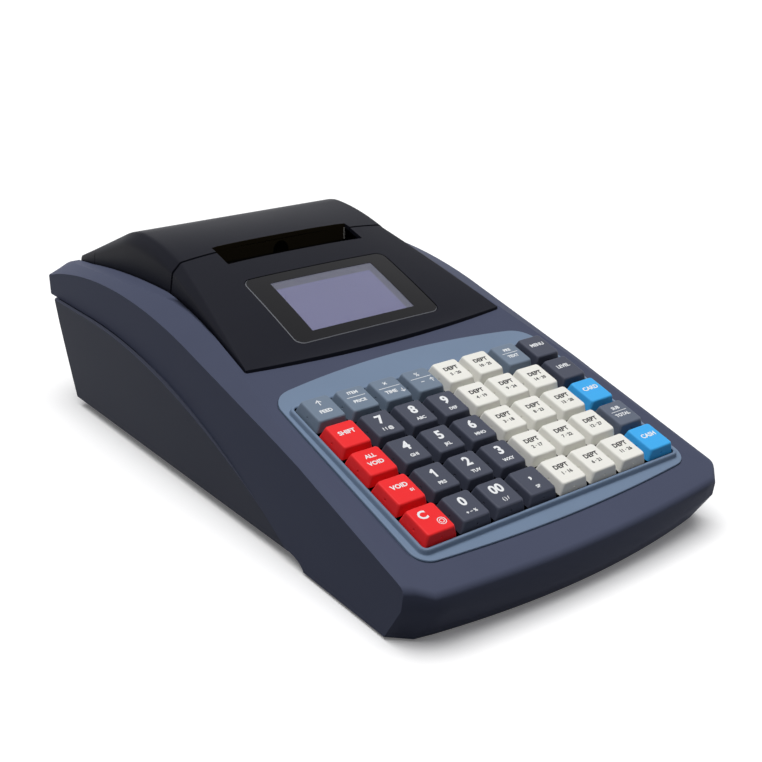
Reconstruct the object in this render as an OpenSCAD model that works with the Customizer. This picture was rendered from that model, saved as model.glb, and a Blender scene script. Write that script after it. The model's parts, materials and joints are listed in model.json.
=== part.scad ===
// Ticket register: a small cash register with forty keys, a display and a receipt printer.
// X runs to the right, Y to the back and Z up. The origin is on the table, under the middle.

/* [Case] */
// Width of the upper case over its side walls, behind the flare at its front
body_w = 184; // [182:0.5:186]
// Width of the upper case at the front lip
front_w = 189; // [187:0.2:192]
// Distance from the front lip back to where the side walls flare out
flare_run = 90; // [80:1:100]
// Depth from the middle of the front lip to the rear nose
body_d = 363; // [360:1:366]
// Slope of the key deck in degrees
deck_tilt = 17; // [16:0.5:17.5]
// Height of the deck over the table at the middle of the front lip
lip_h = 27.3; // [26.5:0.1:28]
// How far the front lip bows forward between its corners
front_bow = 4.6; // [3:0.1:6]
// Forward lean of the upper part of the front wall in degrees
front_lean = 8; // [5:1:12]
// How far the foot of the front wall bows forward between its corners
foot_bow = 8.5; // [7:0.5:10]
// Forward lean of the front wall at its foot in degrees
foot_lean = 34; // [28:1:38]
// Distance from the front lip back to the foot of the front wall
foot_set = 9.8; // [8.5:0.1:11]
// Width and depth of the flat cut across each front corner
corner_cut = 10; // [7:0.5:12]
// Plan radius of the two edges of that flat
corner_r = 2; // [1:0.5:3]
// Wall thickness of both case halves
wall = 2.5; // [2:0.1:3]
// Distance from the front lip back to where the ridges of the side rails start to arch
rail_run = 181.5; // [179:0.5:184]
// Radius of the ridges up to their crown
rail_r = 231; // [225:1:236]
// Radius of the ridges behind their crown
rail_back_r = 620; // [600:10:650]
// Slope of the bevel along the outside of the rails in degrees
bevel_a = 22; // [20:1:24]
// Distance from the front lip back to where the slope of the outer edge changes
edge_run = 105; // [100:1:110]
// Drop of the outer edge under the deck at that point
edge_drop = 1.85; // [1:0.05:2.5]
// Slope of the outer edge in front of that point in degrees
edge_front_a = 16.3; // [16:0.1:16.6]
// Slope of the outer edge behind that point in degrees
edge_a = 14.7; // [14.4:0.1:15]
// Distance from the front lip back to where the outer edge starts to arch
edge_arch_run = 185.8; // [183:0.2:188]
// Radius of the arch of the outer edge
edge_r = 330; // [325:1:335]
// Height of the parting line at the back
parting_h = 65.4; // [62:0.2:67]
// Radius of the arc in which the parting line drops to the front
parting_r = 360; // [350:1:370]
// Distance from the rear nose forward to where the parting line starts to drop
parting_run = 63; // [55:1:65]
// Height of the case bottom over the table
floor_h = 6; // [5:0.5:8]
// Height of the front skirt over the table
skirt_h = 1; // [0.5:0.1:2]
// Width of the lower case at its bottom
base_w = 182.4; // [178:0.2:183]
// Outward draft of the lower case's side walls in degrees
base_draft = 3.6; // [2:0.1:4]
// Lean of the lower case's rear wall in degrees
rear_lean = 12.8; // [10:0.2:15]
// Distance from the rear nose forward to the top of the rear wall
rear_set = 12.2; // [11:0.1:13]

/* [Keys] */
// Number of key columns
key_cols = 8; // [8:1:8]
// Number of key rows
key_rows = 5; // [5:1:5]
// Pitch of the key columns
pitch_x = 19; // [18:0.1:19.4]
// Pitch of the key rows
pitch_y = 20; // [19:0.1:20.4]
// Distance from the front lip back to the middle of the keys
key_set = 72; // [71.5:0.1:73]
// Width of a key's top
key_top_w = 14.4; // [12:0.1:15.5]
// Length of a key's top
key_top_l = 16.1; // [14:0.1:16.5]
// Gap between the skirts of two keys
key_gap = 1.6; // [1:0.1:2.5]
// Height of the key tops over the deck
key_rise = 8.1; // [7:0.1:9]
// Travel of a key
key_travel = 3; // [2:0.1:3]
// Side of the square key stem
stem_w = 6; // [5:0.1:7]

/* [Bezel] */
// Width of the bezel at the front
bezel_front_w = 162; // [160:0.5:164]
// Width of the bezel at the back
bezel_rear_w = 159; // [158:0.5:161]
// Reach of the bezel in front of the middle of the keys
bezel_front = 58.9; // [57.5:0.1:60]
// Reach of the bezel behind the middle of the keys
bezel_rear = 71.3; // [69:0.1:72]
// Bow of the bezel's front edge
bezel_front_bow = 3.4; // [2:0.1:4]
// Bow of the bezel's back edge
bezel_rear_bow = 6; // [4:0.5:8]
// Height of the bezel's flat over the deck
bezel_rise = 1; // [0.3:0.1:1.2]
// Height of the rim round the keys over the deck
rim_h = 3.5; // [2:0.1:4]

/* [Display cover] */
// Distance from the front lip back to the cover's front corners
cover_set = 153; // [151:0.5:155]
// Length of the cover along the table
cover_l = 87.7; // [86:0.1:90]
// Width of the cover at its front corners
cover_front_w = 159; // [157:0.2:160]
// Width between the side rails behind the cover
well_w = 145.6; // [143:0.2:147]
// Height of the cover's front edge
cover_front_h = 75.8; // [75.2:0.1:77]
// Height of the cover's top edges at the seam with the lid
seam_h = 106.2; // [104:0.2:108]
// Rise of the crown in the middle of the seam
crown = 2.8; // [0.5:0.1:3]
// How far the cover bulges above a straight line from its front to the seam
bulge = 0.8; // [0:0.1:1.2]
// Width of the flat top at the seam
seam_top_w = 130; // [124:1:134]
// Width of the display window
window_w = 90; // [86:0.5:94]
// Length of the display window
window_l = 56; // [53:0.5:58]
// Width of the part of the display that can be seen
lcd_w = 64.4; // [60:0.2:66]
// Length of the part of the display that can be seen
lcd_l = 41.8; // [38:0.2:43]

/* [Paper lid] */
// Height of the lid's ridge at its top edges
ridge_h = 113.4; // [112:0.1:115]
// Distance from the seam back to the ridge
ridge_run = 41.6; // [38:0.2:45]
// Length of the paper slot
slot_w = 87; // [84:0.5:88]
// Distance that the slot reaches in front of the seam
slot_front = 12; // [8:0.5:14]
// Distance that the slot reaches behind the seam
slot_rear = 5; // [3:0.5:6]
// Distance from the rear nose forward to the hinge axis
hinge_set = 9.6; // [9.2:0.1:10.5]
// Height of the hinge axis over the table
hinge_h = 77.6; // [77.2:0.1:78]
// Diameter of the hinge pin
pin_d = 4; // [3:0.1:4.4]

/* [Printer] */
// Width of the paper roll
paper_w = 80; // [57:1:80]
// Diameter of a full paper roll
roll_d = 64; // [40:1:66]
// Bore of the paper roll's core
core_d = 12.5; // [8:0.5:18]
// Diameter of the rubber roller
platen_d = 12; // [10:0.5:13]
// Diameter of the roller's steel shaft
shaft_d = 4; // [3:0.1:5]
// Teeth of the gear on the roller
platen_teeth = 24; // [22:1:26]
// Teeth of the motor's pinion
pinion_teeth = 14; // [12:1:16]
// Tooth module of both gears
gear_m = 0.6; // [0.5:0.05:0.65]
// Diameter of the feed motor
motor_d = 20; // [16:0.5:21]
// Length of the feed motor
motor_l = 13; // [10:0.5:14]

/* [Small parts] */
// Diameter of the screws that join the case halves
screw_d = 3; // [2.5:0.1:3.5]
// Diameter of the screw heads
screw_head_d = 6; // [5:0.1:6.5]
// Diameter of the rubber feet
foot_d = 14; // [10:1:18]
// Diameter of the power socket's bore
jack_d = 6.4; // [5.5:0.1:7]

/* [Hidden] */
KEYS = [for (r = [1:5], c = [1:8]) str("key_r", r, "_c", c)];

fit = 0.3;         // clearance between parts that only lie beside each other
run_fit = 0.1;     // diametral clearance of a pin or shaft in its bore
far = 400;         // longer than anything in the part
front_y = -body_d / 2;
rear_y = body_d / 2;
side_x = body_w / 2;
front_x = front_w / 2;
flare_y = front_y + flare_run;
deck_t = wall / cos(deck_tilt);

// Deck and ridges of the side rails
function deck_z(y) = lip_h + (y - front_y) * tan(deck_tilt);
function arch(y, r, top_y, top_z) = top_z - r + sqrt(pow(r, 2) - pow(y - top_y, 2));
rail_y = front_y + rail_run;
arch_y = rail_y + rail_r * sin(deck_tilt);
arch_z = deck_z(rail_y) + rail_r * (1 - cos(deck_tilt));
function case_z(y) = y < rail_y ? deck_z(y) : arch(y, y < arch_y ? rail_r : rail_back_r, arch_y, arch_z);
nose_r = 8;                          // radius of the upper edge of the rear nose
nose_y = rear_y - nose_r;
nose_z = case_z(nose_y) - nose_r;
nose_low_r = 5;                      // radius of its lower edge

// Outer edges of the side rails
edge_y = front_y + edge_run;
edge_h = deck_z(edge_y) - edge_drop;
edge_arch_y = front_y + edge_arch_run;
edge_top_y = edge_arch_y + edge_r * sin(edge_a);
edge_top_z = edge_h + (edge_arch_y - edge_y) * tan(edge_a) + edge_r * (1 - cos(edge_a));
function edge_z(y) = y < edge_y ? edge_h - (edge_y - y) * tan(edge_front_a)
    : y < edge_arch_y ? edge_h + (y - edge_y) * tan(edge_a)
    : arch(y, edge_r, edge_top_y, edge_top_z);

// Parting line of the two case halves
parting_y = rear_y - parting_run;
seam_gap = 0.2;
function drop_y(drop) = parting_y - sqrt(pow(parting_r, 2) - pow(parting_r - drop, 2));
function parting_z(y) = y > parting_y ? parting_h
    : parting_h - parting_r + sqrt(pow(parting_r, 2) - pow(parting_y - y, 2));
step_h = floor_h + 1.4;              // where the parting line turns down to the front foot
step_y = drop_y(parting_h - step_h);
step_run = 15;
floor_end_y = drop_y(parting_h - floor_h - seam_gap);
floor_top = floor_h + wall;
rear_wall_y = rear_y - rear_set;
function rear_wall_at(z) = rear_wall_y - (parting_h - z) * tan(rear_lean);

// Keys, in the deck's own frame: x across, y up the slope and z square to the deck
key_y = front_y + key_set;
skirt_w = pitch_x - key_gap;
skirt_l = pitch_y - key_gap;
skirt_n = -1;                        // underside of the key caps
guide_top = skirt_n - key_travel - 0.5;
guide_t = 1.5;
barb_t = 1.2;
stem_end = guide_top - guide_t - barb_t - 1;
mat_t = 1;
dome_h = 2.7;
mat_top = stem_end - key_travel - fit - dome_h;
board_t = 1.6;
field_w = (key_cols - 1) * pitch_x + skirt_w;
field_l = (key_rows - 1) * pitch_y + skirt_l;
frame_w = field_w + 1.2;             // opening inside the bezel's rim
frame_l = field_l + 1.2;
bezel_wall = 1.5;
flange_t = 1.8;
function key_x(c) = (c - (key_cols + 1) / 2) * pitch_x;
function key_s(r) = ((key_rows + 1) / 2 - r) * pitch_y;

// Well for the cover and the lid, and the ledge at its foot
cover_y = front_y + cover_set;
seam_y = cover_y + cover_l;
cover_tilt = atan((seam_h - cover_front_h) / cover_l);
cover_bow = 4.5;
ledge_top = parting_h + wall;
ledge_t = 2;
ledge_w = 3;
skin = 2.5;                          // thickness of the cover and the lid
lid_w = well_w - 2 * fit;
lid_y = seam_y + fit;
shoulder = 4.2;                      // drop of the bevel along the cover's top edges
function cover_z(y) = cover_front_h + (y - cover_y) * tan(cover_tilt);

// Window and display
window_y = cover_y + 33.3;
window_t = 1.5;
bulge_at = 0.45;                     // where the cover bulges most, from its front to the seam
bulge_crown = 0.75 * crown;
window_lift = bulge + bulge_crown - 0.35;
module_t = 6;
carrier_top = -window_t - 0.1 - skin - module_t + 1;
post_d = 5;
post_x = lcd_w / 2 + 9.3;
post_s = lcd_l / 2 + 5.5;

// Hinge and lid
hinge_y = rear_y - hinge_set;
ridge_y = lid_y + ridge_run;
barrel_r = hinge_set - 0.4;
lid_foot = ledge_top + 0.8;
lid_stations = 12;
tail_z = hinge_h + barrel_r * 0.93;

// Printer
platen_y = seam_y + 15.3;
platen_z = 92;
side_in = 44.2;                      // inner face of the printer's side plates
side_t = 2.5;
bracket_in = paper_w / 2 + 1.2;
bracket_t = 2.4;
gear_x = side_in + side_t + 1;
gear_t = 4;
mesh_gap = 0.15;
mesh_d = gear_m * (platen_teeth + pinion_teeth) / 2 + mesh_gap;
mesh_a = 240;                        // direction from the roller to the pinion
pinion_y = platen_y + mesh_d * cos(mesh_a);
pinion_z = platen_z + mesh_d * sin(mesh_a);
motor_x = gear_x + gear_t + 2.8;
motor_plate_t = 2;
motor_shaft_d = 2;
trough_r = 36;
trough_y = seam_y + 55.3;
trough_z = 66;
roll_z = trough_z - trough_r + roll_d / 2 + fit;
head_t = 3.2;
head_y = platen_y - platen_d / 2 - fit - head_t;
carrier_t = 3;
head_l = 18;                         // height of the print head
head_drop = 10;                      // from the roller's axis down to the head's lower edge
head_bore_d = 3.2;
head_bore_x = 30;
head_bore_drop = 6;

// Screws, feet, boards
boss_inset = 7.5;                    // from the outer face of the side wall to a screw's axis
boss_d = 8;
function wall_at(y) = y < flare_y ? side_x + (front_x - side_x) * (flare_y - y) / flare_run : side_x;
function boss_x(y) = min(side_x, wall_at(y)) - boss_inset;
screw_clear = 0.3;
screw_l = 9;
seat_t = 3;                          // material under a screw head
screw_head_l = 2.2;
boss_ys = [front_y + 40, front_y + 180, rear_y - 40];
joint_zs = [floor_h + 7, floor_h + 24, floor_h + 39];
foot_x = 75;
foot_ys = [front_y + 45, rear_y - 40];
board_z = floor_top + 5.5;
main_y = front_y + 176;
main_w = 150;
main_l = 112;
socket_y = rear_wall_at(board_z) - 12;
socket_h = 12.4;
socket_clear = 0.4;
socket_board_w = 78;
socket_board_l = 20;
socket_board_set = 4;                // from the sockets' faces forward to the board's middle

// ---- shapes used by several parts ----

// Points of an arc about a centre
function arc(cy, cz, r, from, to, steps) =
    [for (i = [0:steps]) let (a = from + i * (to - from) / steps) [cy + r * cos(a), cz + r * sin(a)]];

// An edge that bows outward between two round corners, from left to right, its middle at y = 0
function bowed_edge(half, r, bow, steps) =
    let (a = atan(2 * bow / (half - r)), c = half - r + r * sin(a), h = c * tan(a) / 2 + r * cos(a))
    concat(
        arc(-(half - r), h, r, 180, 270 - a, steps),
        [for (i = [1:4 * steps - 1]) let (x = -c + i * c / (2 * steps)) [x, tan(a) / (2 * c) * pow(x, 2)]],
        arc(half - r, h, r, 270 + a, 360, steps));

// An edge that bows outward between two flats cut across its corners, its middle at y = 0
function cut_edge(half, cut, r, bow, steps) =
    let (t = r * tan(22.5), c = half - cut - t)
    concat(
        arc(-half + r, bow + cut + t, r, 180, 225, 2),
        arc(-c, bow + r, r, 225, 270, 2),
        [for (i = [1 - steps:steps - 1]) let (x = i * c / steps) [x, bow * pow(x / c, 2)]],
        arc(c, bow + r, r, 270, 315, 2),
        arc(half - r, bow + cut + t, r, 315, 360, 2));

function shift(points, x, y) = [for (p = points) [p[0] + x, p[1] + y]];

// Extrude an outline of [y, z] points across the body
module across(outline, half) {
    rotate([90, 0, 90])
        linear_extrude(2 * half, center = true)
            polygon(outline);
}

// Place children in the key deck's frame
module on_deck() {
    translate([0, key_y, deck_z(key_y)])
        rotate([deck_tilt, 0, 0])
            children();
}

// Place children on the display cover, with the window's middle as origin
module on_cover() {
    translate([0, window_y, cover_z(window_y) + window_lift])
        rotate([cover_tilt, 0, 0])
            children();
}

module block(w, l, h) {
    translate([-w / 2, -l / 2, 0])
        cube([w, l, h]);
}

module rounded_block(w, l, h, r) {
    linear_extrude(h)
        polygon(concat(
            arc(-w / 2 + r, -l / 2 + r, r, 180, 270, 4),
            arc(w / 2 - r, -l / 2 + r, r, 270, 360, 4),
            arc(w / 2 - r, l / 2 - r, r, 0, 90, 4),
            arc(-w / 2 + r, l / 2 - r, r, 90, 180, 4)));
}

// A key cap or a similar block whose sides taper to the top
module tapered_block(w0, l0, w1, l1, h) {
    points = concat(
        [for (s = [[-1, -1], [1, -1], [1, 1], [-1, 1]]) [s[0] * w0 / 2, s[1] * l0 / 2, 0]],
        [for (s = [[-1, -1], [1, -1], [1, 1], [-1, 1]]) [s[0] * w1 / 2, s[1] * l1 / 2, h]]);
    polyhedron(points, [[0, 1, 2, 3], [0, 4, 5, 1], [1, 5, 6, 2], [2, 6, 7, 3], [3, 7, 4, 0],
        [7, 6, 5, 4]]);
}

// Everything behind a bowed wall that leans forward from a line at a given height
module behind_wall(y, z, lean, bow, inset) {
    half = front_x - inset;
    cut = corner_cut - inset * (2 - sqrt(2));
    plan = cut_edge(half, cut, max(corner_r - inset, 0.5), bow, 12);
    translate([0, y, z])
        rotate([lean, 0, 0])
            translate([0, inset, -far])
                linear_extrude(2 * far)
                    polygon(concat([for (p = plan) [p[0], p[1] * cos(lean)]], [[half, far], [-half, far]]));
}

// Everything between the side walls and behind the front wall, set in by a distance
module inside_walls(inset) {
    x = side_x - inset;
    spread = 30 * (front_x - side_x) / flare_run;
    rear_r = 5;
    intersection() {
        behind_wall(front_y, lip_h, front_lean, front_bow, inset);
        behind_wall(front_y + foot_set, skirt_h, foot_lean, foot_bow, inset);
        translate([0, 0, -10])
            linear_extrude(200)
                polygon(concat(
                    [[-front_x - spread + inset, front_y - 30], [front_x + spread - inset, front_y - 30],
                        [x, flare_y]],
                    arc(side_x - rear_r, rear_y - rear_r, rear_r - inset, 0, 90, 5),
                    arc(-side_x + rear_r, rear_y - rear_r, rear_r - inset, 90, 180, 5),
                    [[-x, flare_y]]));
    }
}

// Everything under the bevels along the outside of the deck and the rails
module under_bevels(drop) {
    ys = [for (i = [0:40]) front_y - 10 + i * (body_d + 20) / 40];
    intersection_for(s = [0, 1])
        mirror([s, 0, 0])
            translate([side_x, 0, 0])
                rotate([0, bevel_a, 0])
                    across(concat(
                        [for (y = ys) [y, (edge_z(y) - drop) * cos(bevel_a)]],
                        [[rear_y + 10, -far], [front_y - 10, -far]]), far);
}

// Plan of the well between the side rails, grown by a distance
function well_plan(grow) = let (front = cover_front_w / 2 + grow, rear = well_w / 2 + grow)
    concat(
        shift(bowed_edge(front, 1.5, cover_bow, 3), 0, cover_y - cover_bow - grow),
        [[rear, seam_y], [rear, rear_y - 3.5 + grow], [-rear, rear_y - 3.5 + grow], [-rear, seam_y]]);

// Outline of the bezel on the deck, grown by a distance
function bezel_plan(grow) =
    let (front = bowed_edge(bezel_front_w / 2 + grow, 9 + grow, bezel_front_bow, 5),
        rear = bowed_edge(bezel_rear_w / 2 + grow, 13 + grow, bezel_rear_bow, 5))
    concat(shift(front, 0, -bezel_front - grow),
        [for (p = rear) [-p[0], bezel_rear + grow - p[1]]]);

// A bar that lies across the body
module rod(x0, x1, d, y, z, sides = 48) {
    translate([x0, y, z])
        rotate([0, 90, 0])
            cylinder(h = x1 - x0, d = d, $fn = sides);
}

// A spur gear about the X axis, with one tooth or gap facing the angle of its mate
module gear(teeth, x, y, z, phase) {
    root = gear_m * (teeth - 2.5) / 2;
    tip = gear_m * (teeth + 1.8) / 2;
    step = 360 / teeth;
    translate([x, y, z])
        rotate([90, 0, 90])
            linear_extrude(gear_t)
                polygon([for (i = [0:teeth - 1], q = [[-0.27, root], [-0.1, tip], [0.1, tip], [0.27, root]])
                    let (a = phase + (i + q[0]) * step) [q[1] * cos(a), q[1] * sin(a)]]);
}

// ---- case ----

upper_outline = concat(
    [[front_y - 5, skirt_h], [step_y - step_run, skirt_h]],
    [for (a = [75:-15:0]) [step_y - step_run * sin(a), skirt_h + (step_h - skirt_h) * cos(a)]],
    [for (i = [1:15]) let (y = step_y + i * (parting_y - step_y) / 15) [y, parting_z(y)]],
    arc(rear_y - nose_low_r, parting_h + nose_low_r, nose_low_r, -90, 0, 5),
    arc(nose_y, nose_z, nose_r, 0, 75, 5),
    [for (i = [0:20]) let (y = nose_y + i * (rail_y - nose_y) / 20) [y, case_z(y)]],
    [[front_y - 5, deck_z(front_y - 5)]]);

upper_hollow = concat(
    [[front_y - 5, -5], [rear_wall_y - wall - 2, -5], [rear_wall_y - wall - 2, ledge_top],
        [rear_y - wall - 3, ledge_top], [rear_y - wall - 3, nose_z]],
    [for (i = [0:20]) let (y = nose_y + i * (rail_y - nose_y) / 20) [y, case_z(y) - deck_t]],
    [[front_y - 5, deck_z(front_y - 5) - deck_t]]);

module upper_shell() {
    difference() {
        intersection() {
            across(upper_outline, front_x + 5);
            inside_walls(0);
            under_bevels(0);
        }
        intersection() {
            across(upper_hollow, front_x + 5);
            inside_walls(wall);
            under_bevels(wall / cos(bevel_a));
        }
    }
}

// Curtain wall that hangs from the rails round the well, with the ledge inside it
module well_curtain() {
    intersection() {
        difference() {
            translate([0, 0, ledge_top - ledge_t])
                linear_extrude(60)
                    polygon(well_plan(wall));
            translate([0, 0, ledge_top])
                linear_extrude(60)
                    polygon(well_plan(0));
            translate([0, 0, ledge_top - 2 * ledge_t])
                linear_extrude(60)
                    polygon(well_plan(-ledge_w));
        }
        across(upper_outline, side_x);
        under_bevels(0);
    }
}

module case_boss(y, z) {
    translate([boss_x(y), y, z])
        difference() {
            cylinder(h = min(case_z(y), edge_z(y)) - 1.2 - z, d = boss_d, $fn = 40);
            translate([0, 0, -1])
                cylinder(h = screw_l + 2, d = screw_d + run_fit, $fn = 40);
        }
}

module upper_case() {
    color("#4f5265")
    difference() {
        union() {
            difference() {
                upper_shell();
                translate([0, 0, ledge_top])
                    linear_extrude(60)
                        polygon(well_plan(0));
                on_deck()
                    translate([0, 0, bezel_rise - flange_t])
                        linear_extrude(10)
                            polygon(bezel_plan(fit));
                on_deck()
                    translate([0, 0, -10])
                        block(frame_w + 2 * bezel_wall + 2 * fit, frame_l + 2 * bezel_wall + 2 * fit, 20);
            }
            well_curtain();
            for (s = [0, 1], i = [0:2])
                mirror([s, 0, 0])
                    case_boss(boss_ys[i], joint_zs[i]);
        }
        translate([-well_w / 2, hinge_y - 2, ledge_top])
            cube([well_w, far, 60]);
        rod(-well_w / 2 - wall, well_w / 2 + wall, pin_d + run_fit, hinge_y, hinge_h);
    }
}

lower_outline = concat(
    [for (i = [0:16]) let (y = floor_end_y + i * (parting_y - floor_end_y) / 16)
        [y, parting_z(y) - seam_gap]],
    [[far, parting_h - seam_gap], [far, floor_h]]);

// A wedge that is open to the front and leans with the rear wall
module base_form(inset) {
    spread = (parting_h - floor_h) * tan(base_draft);
    half = base_w / 2 - inset;
    r = 6 - inset;
    intersection() {
        rotate([90, 0, 0])
            linear_extrude(2 * far, center = true)
                polygon([[-half, floor_h], [half, floor_h], [half + spread, parting_h],
                    [half + 2 * spread, 2 * parting_h - floor_h], [-half - 2 * spread, 2 * parting_h - floor_h],
                    [-half - spread, parting_h]]);
        translate([0, rear_wall_y - inset, parting_h])
            rotate([-rear_lean, 0, 0])
                translate([0, 0, -200])
                    linear_extrude(300)
                        polygon(concat([[-half - 4, -far], [half + 4, -far]],
                            arc(half + 4 - r, -r, r, 0, 90, 5),
                            arc(-half - 4 + r, -r, r, 90, 180, 5)));
    }
}

module lower_boss(y, z) {
    translate([boss_x(y), y, floor_h])
        cylinder(h = z - floor_h - seam_gap, d = screw_head_d + 3, $fn = 40);
}

module lower_boss_bore(y, z) {
    translate([boss_x(y), y, floor_h - 1]) {
        cylinder(h = z - seat_t - floor_h + 1, d = screw_head_d + 2 * screw_clear, $fn = 40);
        cylinder(h = far, d = screw_d + screw_clear, $fn = 40);
    }
}

module lower_case() {
    color("#3a3c46")
    difference() {
        union() {
            difference() {
                intersection() {
                    across(lower_outline, side_x + 10);
                    base_form(0);
                }
                intersection() {
                    translate([-far, -far, floor_top])
                        cube([2 * far, 2 * far, far]);
                    base_form(wall);
                }
            }
            intersection() {
                translate([-side_x + wall + fit, front_y, floor_h])
                    cube([body_w - 2 * wall - 2 * fit, floor_end_y + 10 - front_y, wall]);
                inside_walls(wall + fit);
            }
            for (s = [0, 1], i = [0:2])
                mirror([s, 0, 0])
                    lower_boss(boss_ys[i], joint_zs[i]);
            for (x = [-1, 1], y = [-1, 1])
                translate([x * (main_w / 2 - 5), main_y + y * (main_l / 2 - 5), floor_top - 1])
                    cylinder(h = board_z - floor_top + 1, d = 6, $fn = 40);
            for (x = [-32, 32])
                translate([x, socket_y - 6, floor_top - 1])
                    cylinder(h = board_z - floor_top + 1, d = 6, $fn = 40);
        }
        for (s = [0, 1], i = [0:2])
            mirror([s, 0, 0])
                lower_boss_bore(boss_ys[i], joint_zs[i]);
        for (p = socket_places)
            translate([p[0], socket_y, board_z + board_t])
                translate([-p[1] / 2 - socket_clear, 0, -socket_clear])
                    cube([p[1] + 2 * socket_clear, 40, socket_h + 2 * socket_clear]);
    }
}

module rubber_feet() {
    color("#1c1c1e")
    for (x = [-foot_x, foot_x], y = foot_ys)
        translate([x, y, 0]) {
            cylinder(h = 1.5, d1 = foot_d - 2, d2 = foot_d, $fn = 48);
            translate([0, 0, 1.5])
                cylinder(h = floor_h - 1.5, d = foot_d, $fn = 48);
        }
}

module case_screws() {
    color("#8d9095")
    for (s = [0, 1], i = [0:2])
        mirror([s, 0, 0])
            translate([boss_x(boss_ys[i]), boss_ys[i], joint_zs[i] - seat_t])
                difference() {
                    union() {
                        translate([0, 0, -screw_head_l])
                            cylinder(h = screw_head_l, d = screw_head_d, $fn = 40);
                        cylinder(h = seat_t + screw_l, d = screw_d, $fn = 40);
                    }
                    translate([0, 0, -screw_head_l - 1])
                        cylinder(h = 2.2, d = screw_d, $fn = 6);
                }
}

// ---- keypad ----

module keypad_bezel() {
    outer_w = frame_w + 2 * bezel_wall;
    outer_l = frame_l + 2 * bezel_wall;
    color("#7d8fa3")
    on_deck()
        difference() {
            union() {
                translate([0, 0, bezel_rise - flange_t])
                    linear_extrude(flange_t)
                        polygon(bezel_plan(0));
                translate([0, 0, mat_top])
                    block(outer_w, outer_l, rim_h - mat_top);
            }
            translate([0, 0, guide_top])
                rounded_block(frame_w, frame_l, 20, 1.5);
            translate([0, 0, mat_top - 1])
                block(frame_w, frame_l, guide_top - guide_t - mat_top + 1);
            for (r = [1:key_rows], c = [1:key_cols])
                translate([key_x(c), key_s(r), guide_top - 5])
                    block(stem_w + 2 * fit, stem_w + 2 * fit, 10);
        }
}

module key_dome_mat() {
    color("#55585c")
    on_deck() {
        translate([0, 0, mat_top - mat_t])
            block(frame_w + 2 * bezel_wall - 0.4, frame_l + 2 * bezel_wall - 0.4, mat_t);
        for (r = [1:key_rows], c = [1:key_cols])
            translate([key_x(c), key_s(r), mat_top - 0.5])
                cylinder(h = dome_h + 0.5, d = 8, $fn = 24);
    }
}

module key_board() {
    color("#2f6b45")
    on_deck()
        translate([0, 0, mat_top - mat_t - board_t])
            block(frame_w + 2 * bezel_wall, frame_l + 2 * bezel_wall, board_t);
}

function key_colour(r, c) =
    c == 1 ? (r == 1 ? "#6b7a8c" : "#f0282c")
    : c < 5 ? (r == 1 ? "#6b7a8c" : "#3b3e4d")
    : c < 7 || (c == 7 && r > 1) ? "#e3ddd0"
    : c == 7 ? "#6b7a8c"
    : r == 3 || r == 5 ? "#49b0f0"
    : r == 4 ? "#5b6375" : "#3b3e4d";

module key(r, c) {
    edge = 0.6;                      // bevel round the top of a cap
    cap_h = key_rise - skirt_n;
    stem_top = skirt_n + 1;
    color(key_colour(r, c))
    on_deck()
        translate([key_x(c), key_s(r), 0]) {
            translate([0, 0, skirt_n])
                tapered_block(skirt_w, skirt_l, key_top_w + edge, key_top_l + edge, cap_h - edge);
            translate([0, 0, skirt_n + cap_h - edge])
                tapered_block(key_top_w + edge, key_top_l + edge, key_top_w - edge, key_top_l - edge, edge);
            translate([0, 0, stem_end])
                block(stem_w, stem_w, stem_top - stem_end);
            translate([0, 0, guide_top - guide_t - barb_t - 0.1])
                block(stem_w + 4 * fit, stem_w - 2, barb_t);
        }
}

// ---- display ----

// A thin slice across the cover or the lid: crowned top, bevelled shoulders, straight sides
module slice(y, foot, edge_z, top_half, side_half, bevel, rise, inset) {
    steps = 6;
    top = top_half - inset * 0.6;
    side = side_half - inset;
    translate([0, y, 0])
        rotate([90, 0, 0])
            linear_extrude(0.02, center = true)
                polygon(concat(
                    [[-side, foot], [side, foot], [side, edge_z - bevel - 2 - inset],
                        [side - 0.2 * (side - top), edge_z - bevel - inset]],
                    [for (i = [steps:-1:-steps]) let (x = i / steps)
                        [x * top, edge_z - inset + rise * (1 - pow(abs(x), 3))]],
                    [[-side + 0.2 * (side - top), edge_z - bevel - inset],
                        [-side, edge_z - bevel - 2 - inset]]));
}

module cover_form(inset, foot) {
    hull() {
        translate([0, 0, foot])
            linear_extrude(cover_front_h - inset - foot)
                polygon(concat(
                    shift(bowed_edge(cover_front_w / 2 - inset, 1.5, cover_bow, 3), 0,
                        cover_y - cover_bow + inset),
                    [[cover_front_w / 2 - inset, cover_y + inset + 2],
                        [-cover_front_w / 2 + inset, cover_y + inset + 2]]));
        slice(cover_y + bulge_at * cover_l, foot, cover_z(cover_y + bulge_at * cover_l) + bulge,
            (1 - bulge_at) * cover_front_w / 2 + bulge_at * seam_top_w / 2,
            (1 - bulge_at) * cover_front_w / 2 + bulge_at * well_w / 2 - fit,
            bulge_at * shoulder, bulge_crown, inset);
        slice(seam_y, foot, seam_h, seam_top_w / 2, well_w / 2 - fit, shoulder, crown, inset);
    }
}

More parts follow.
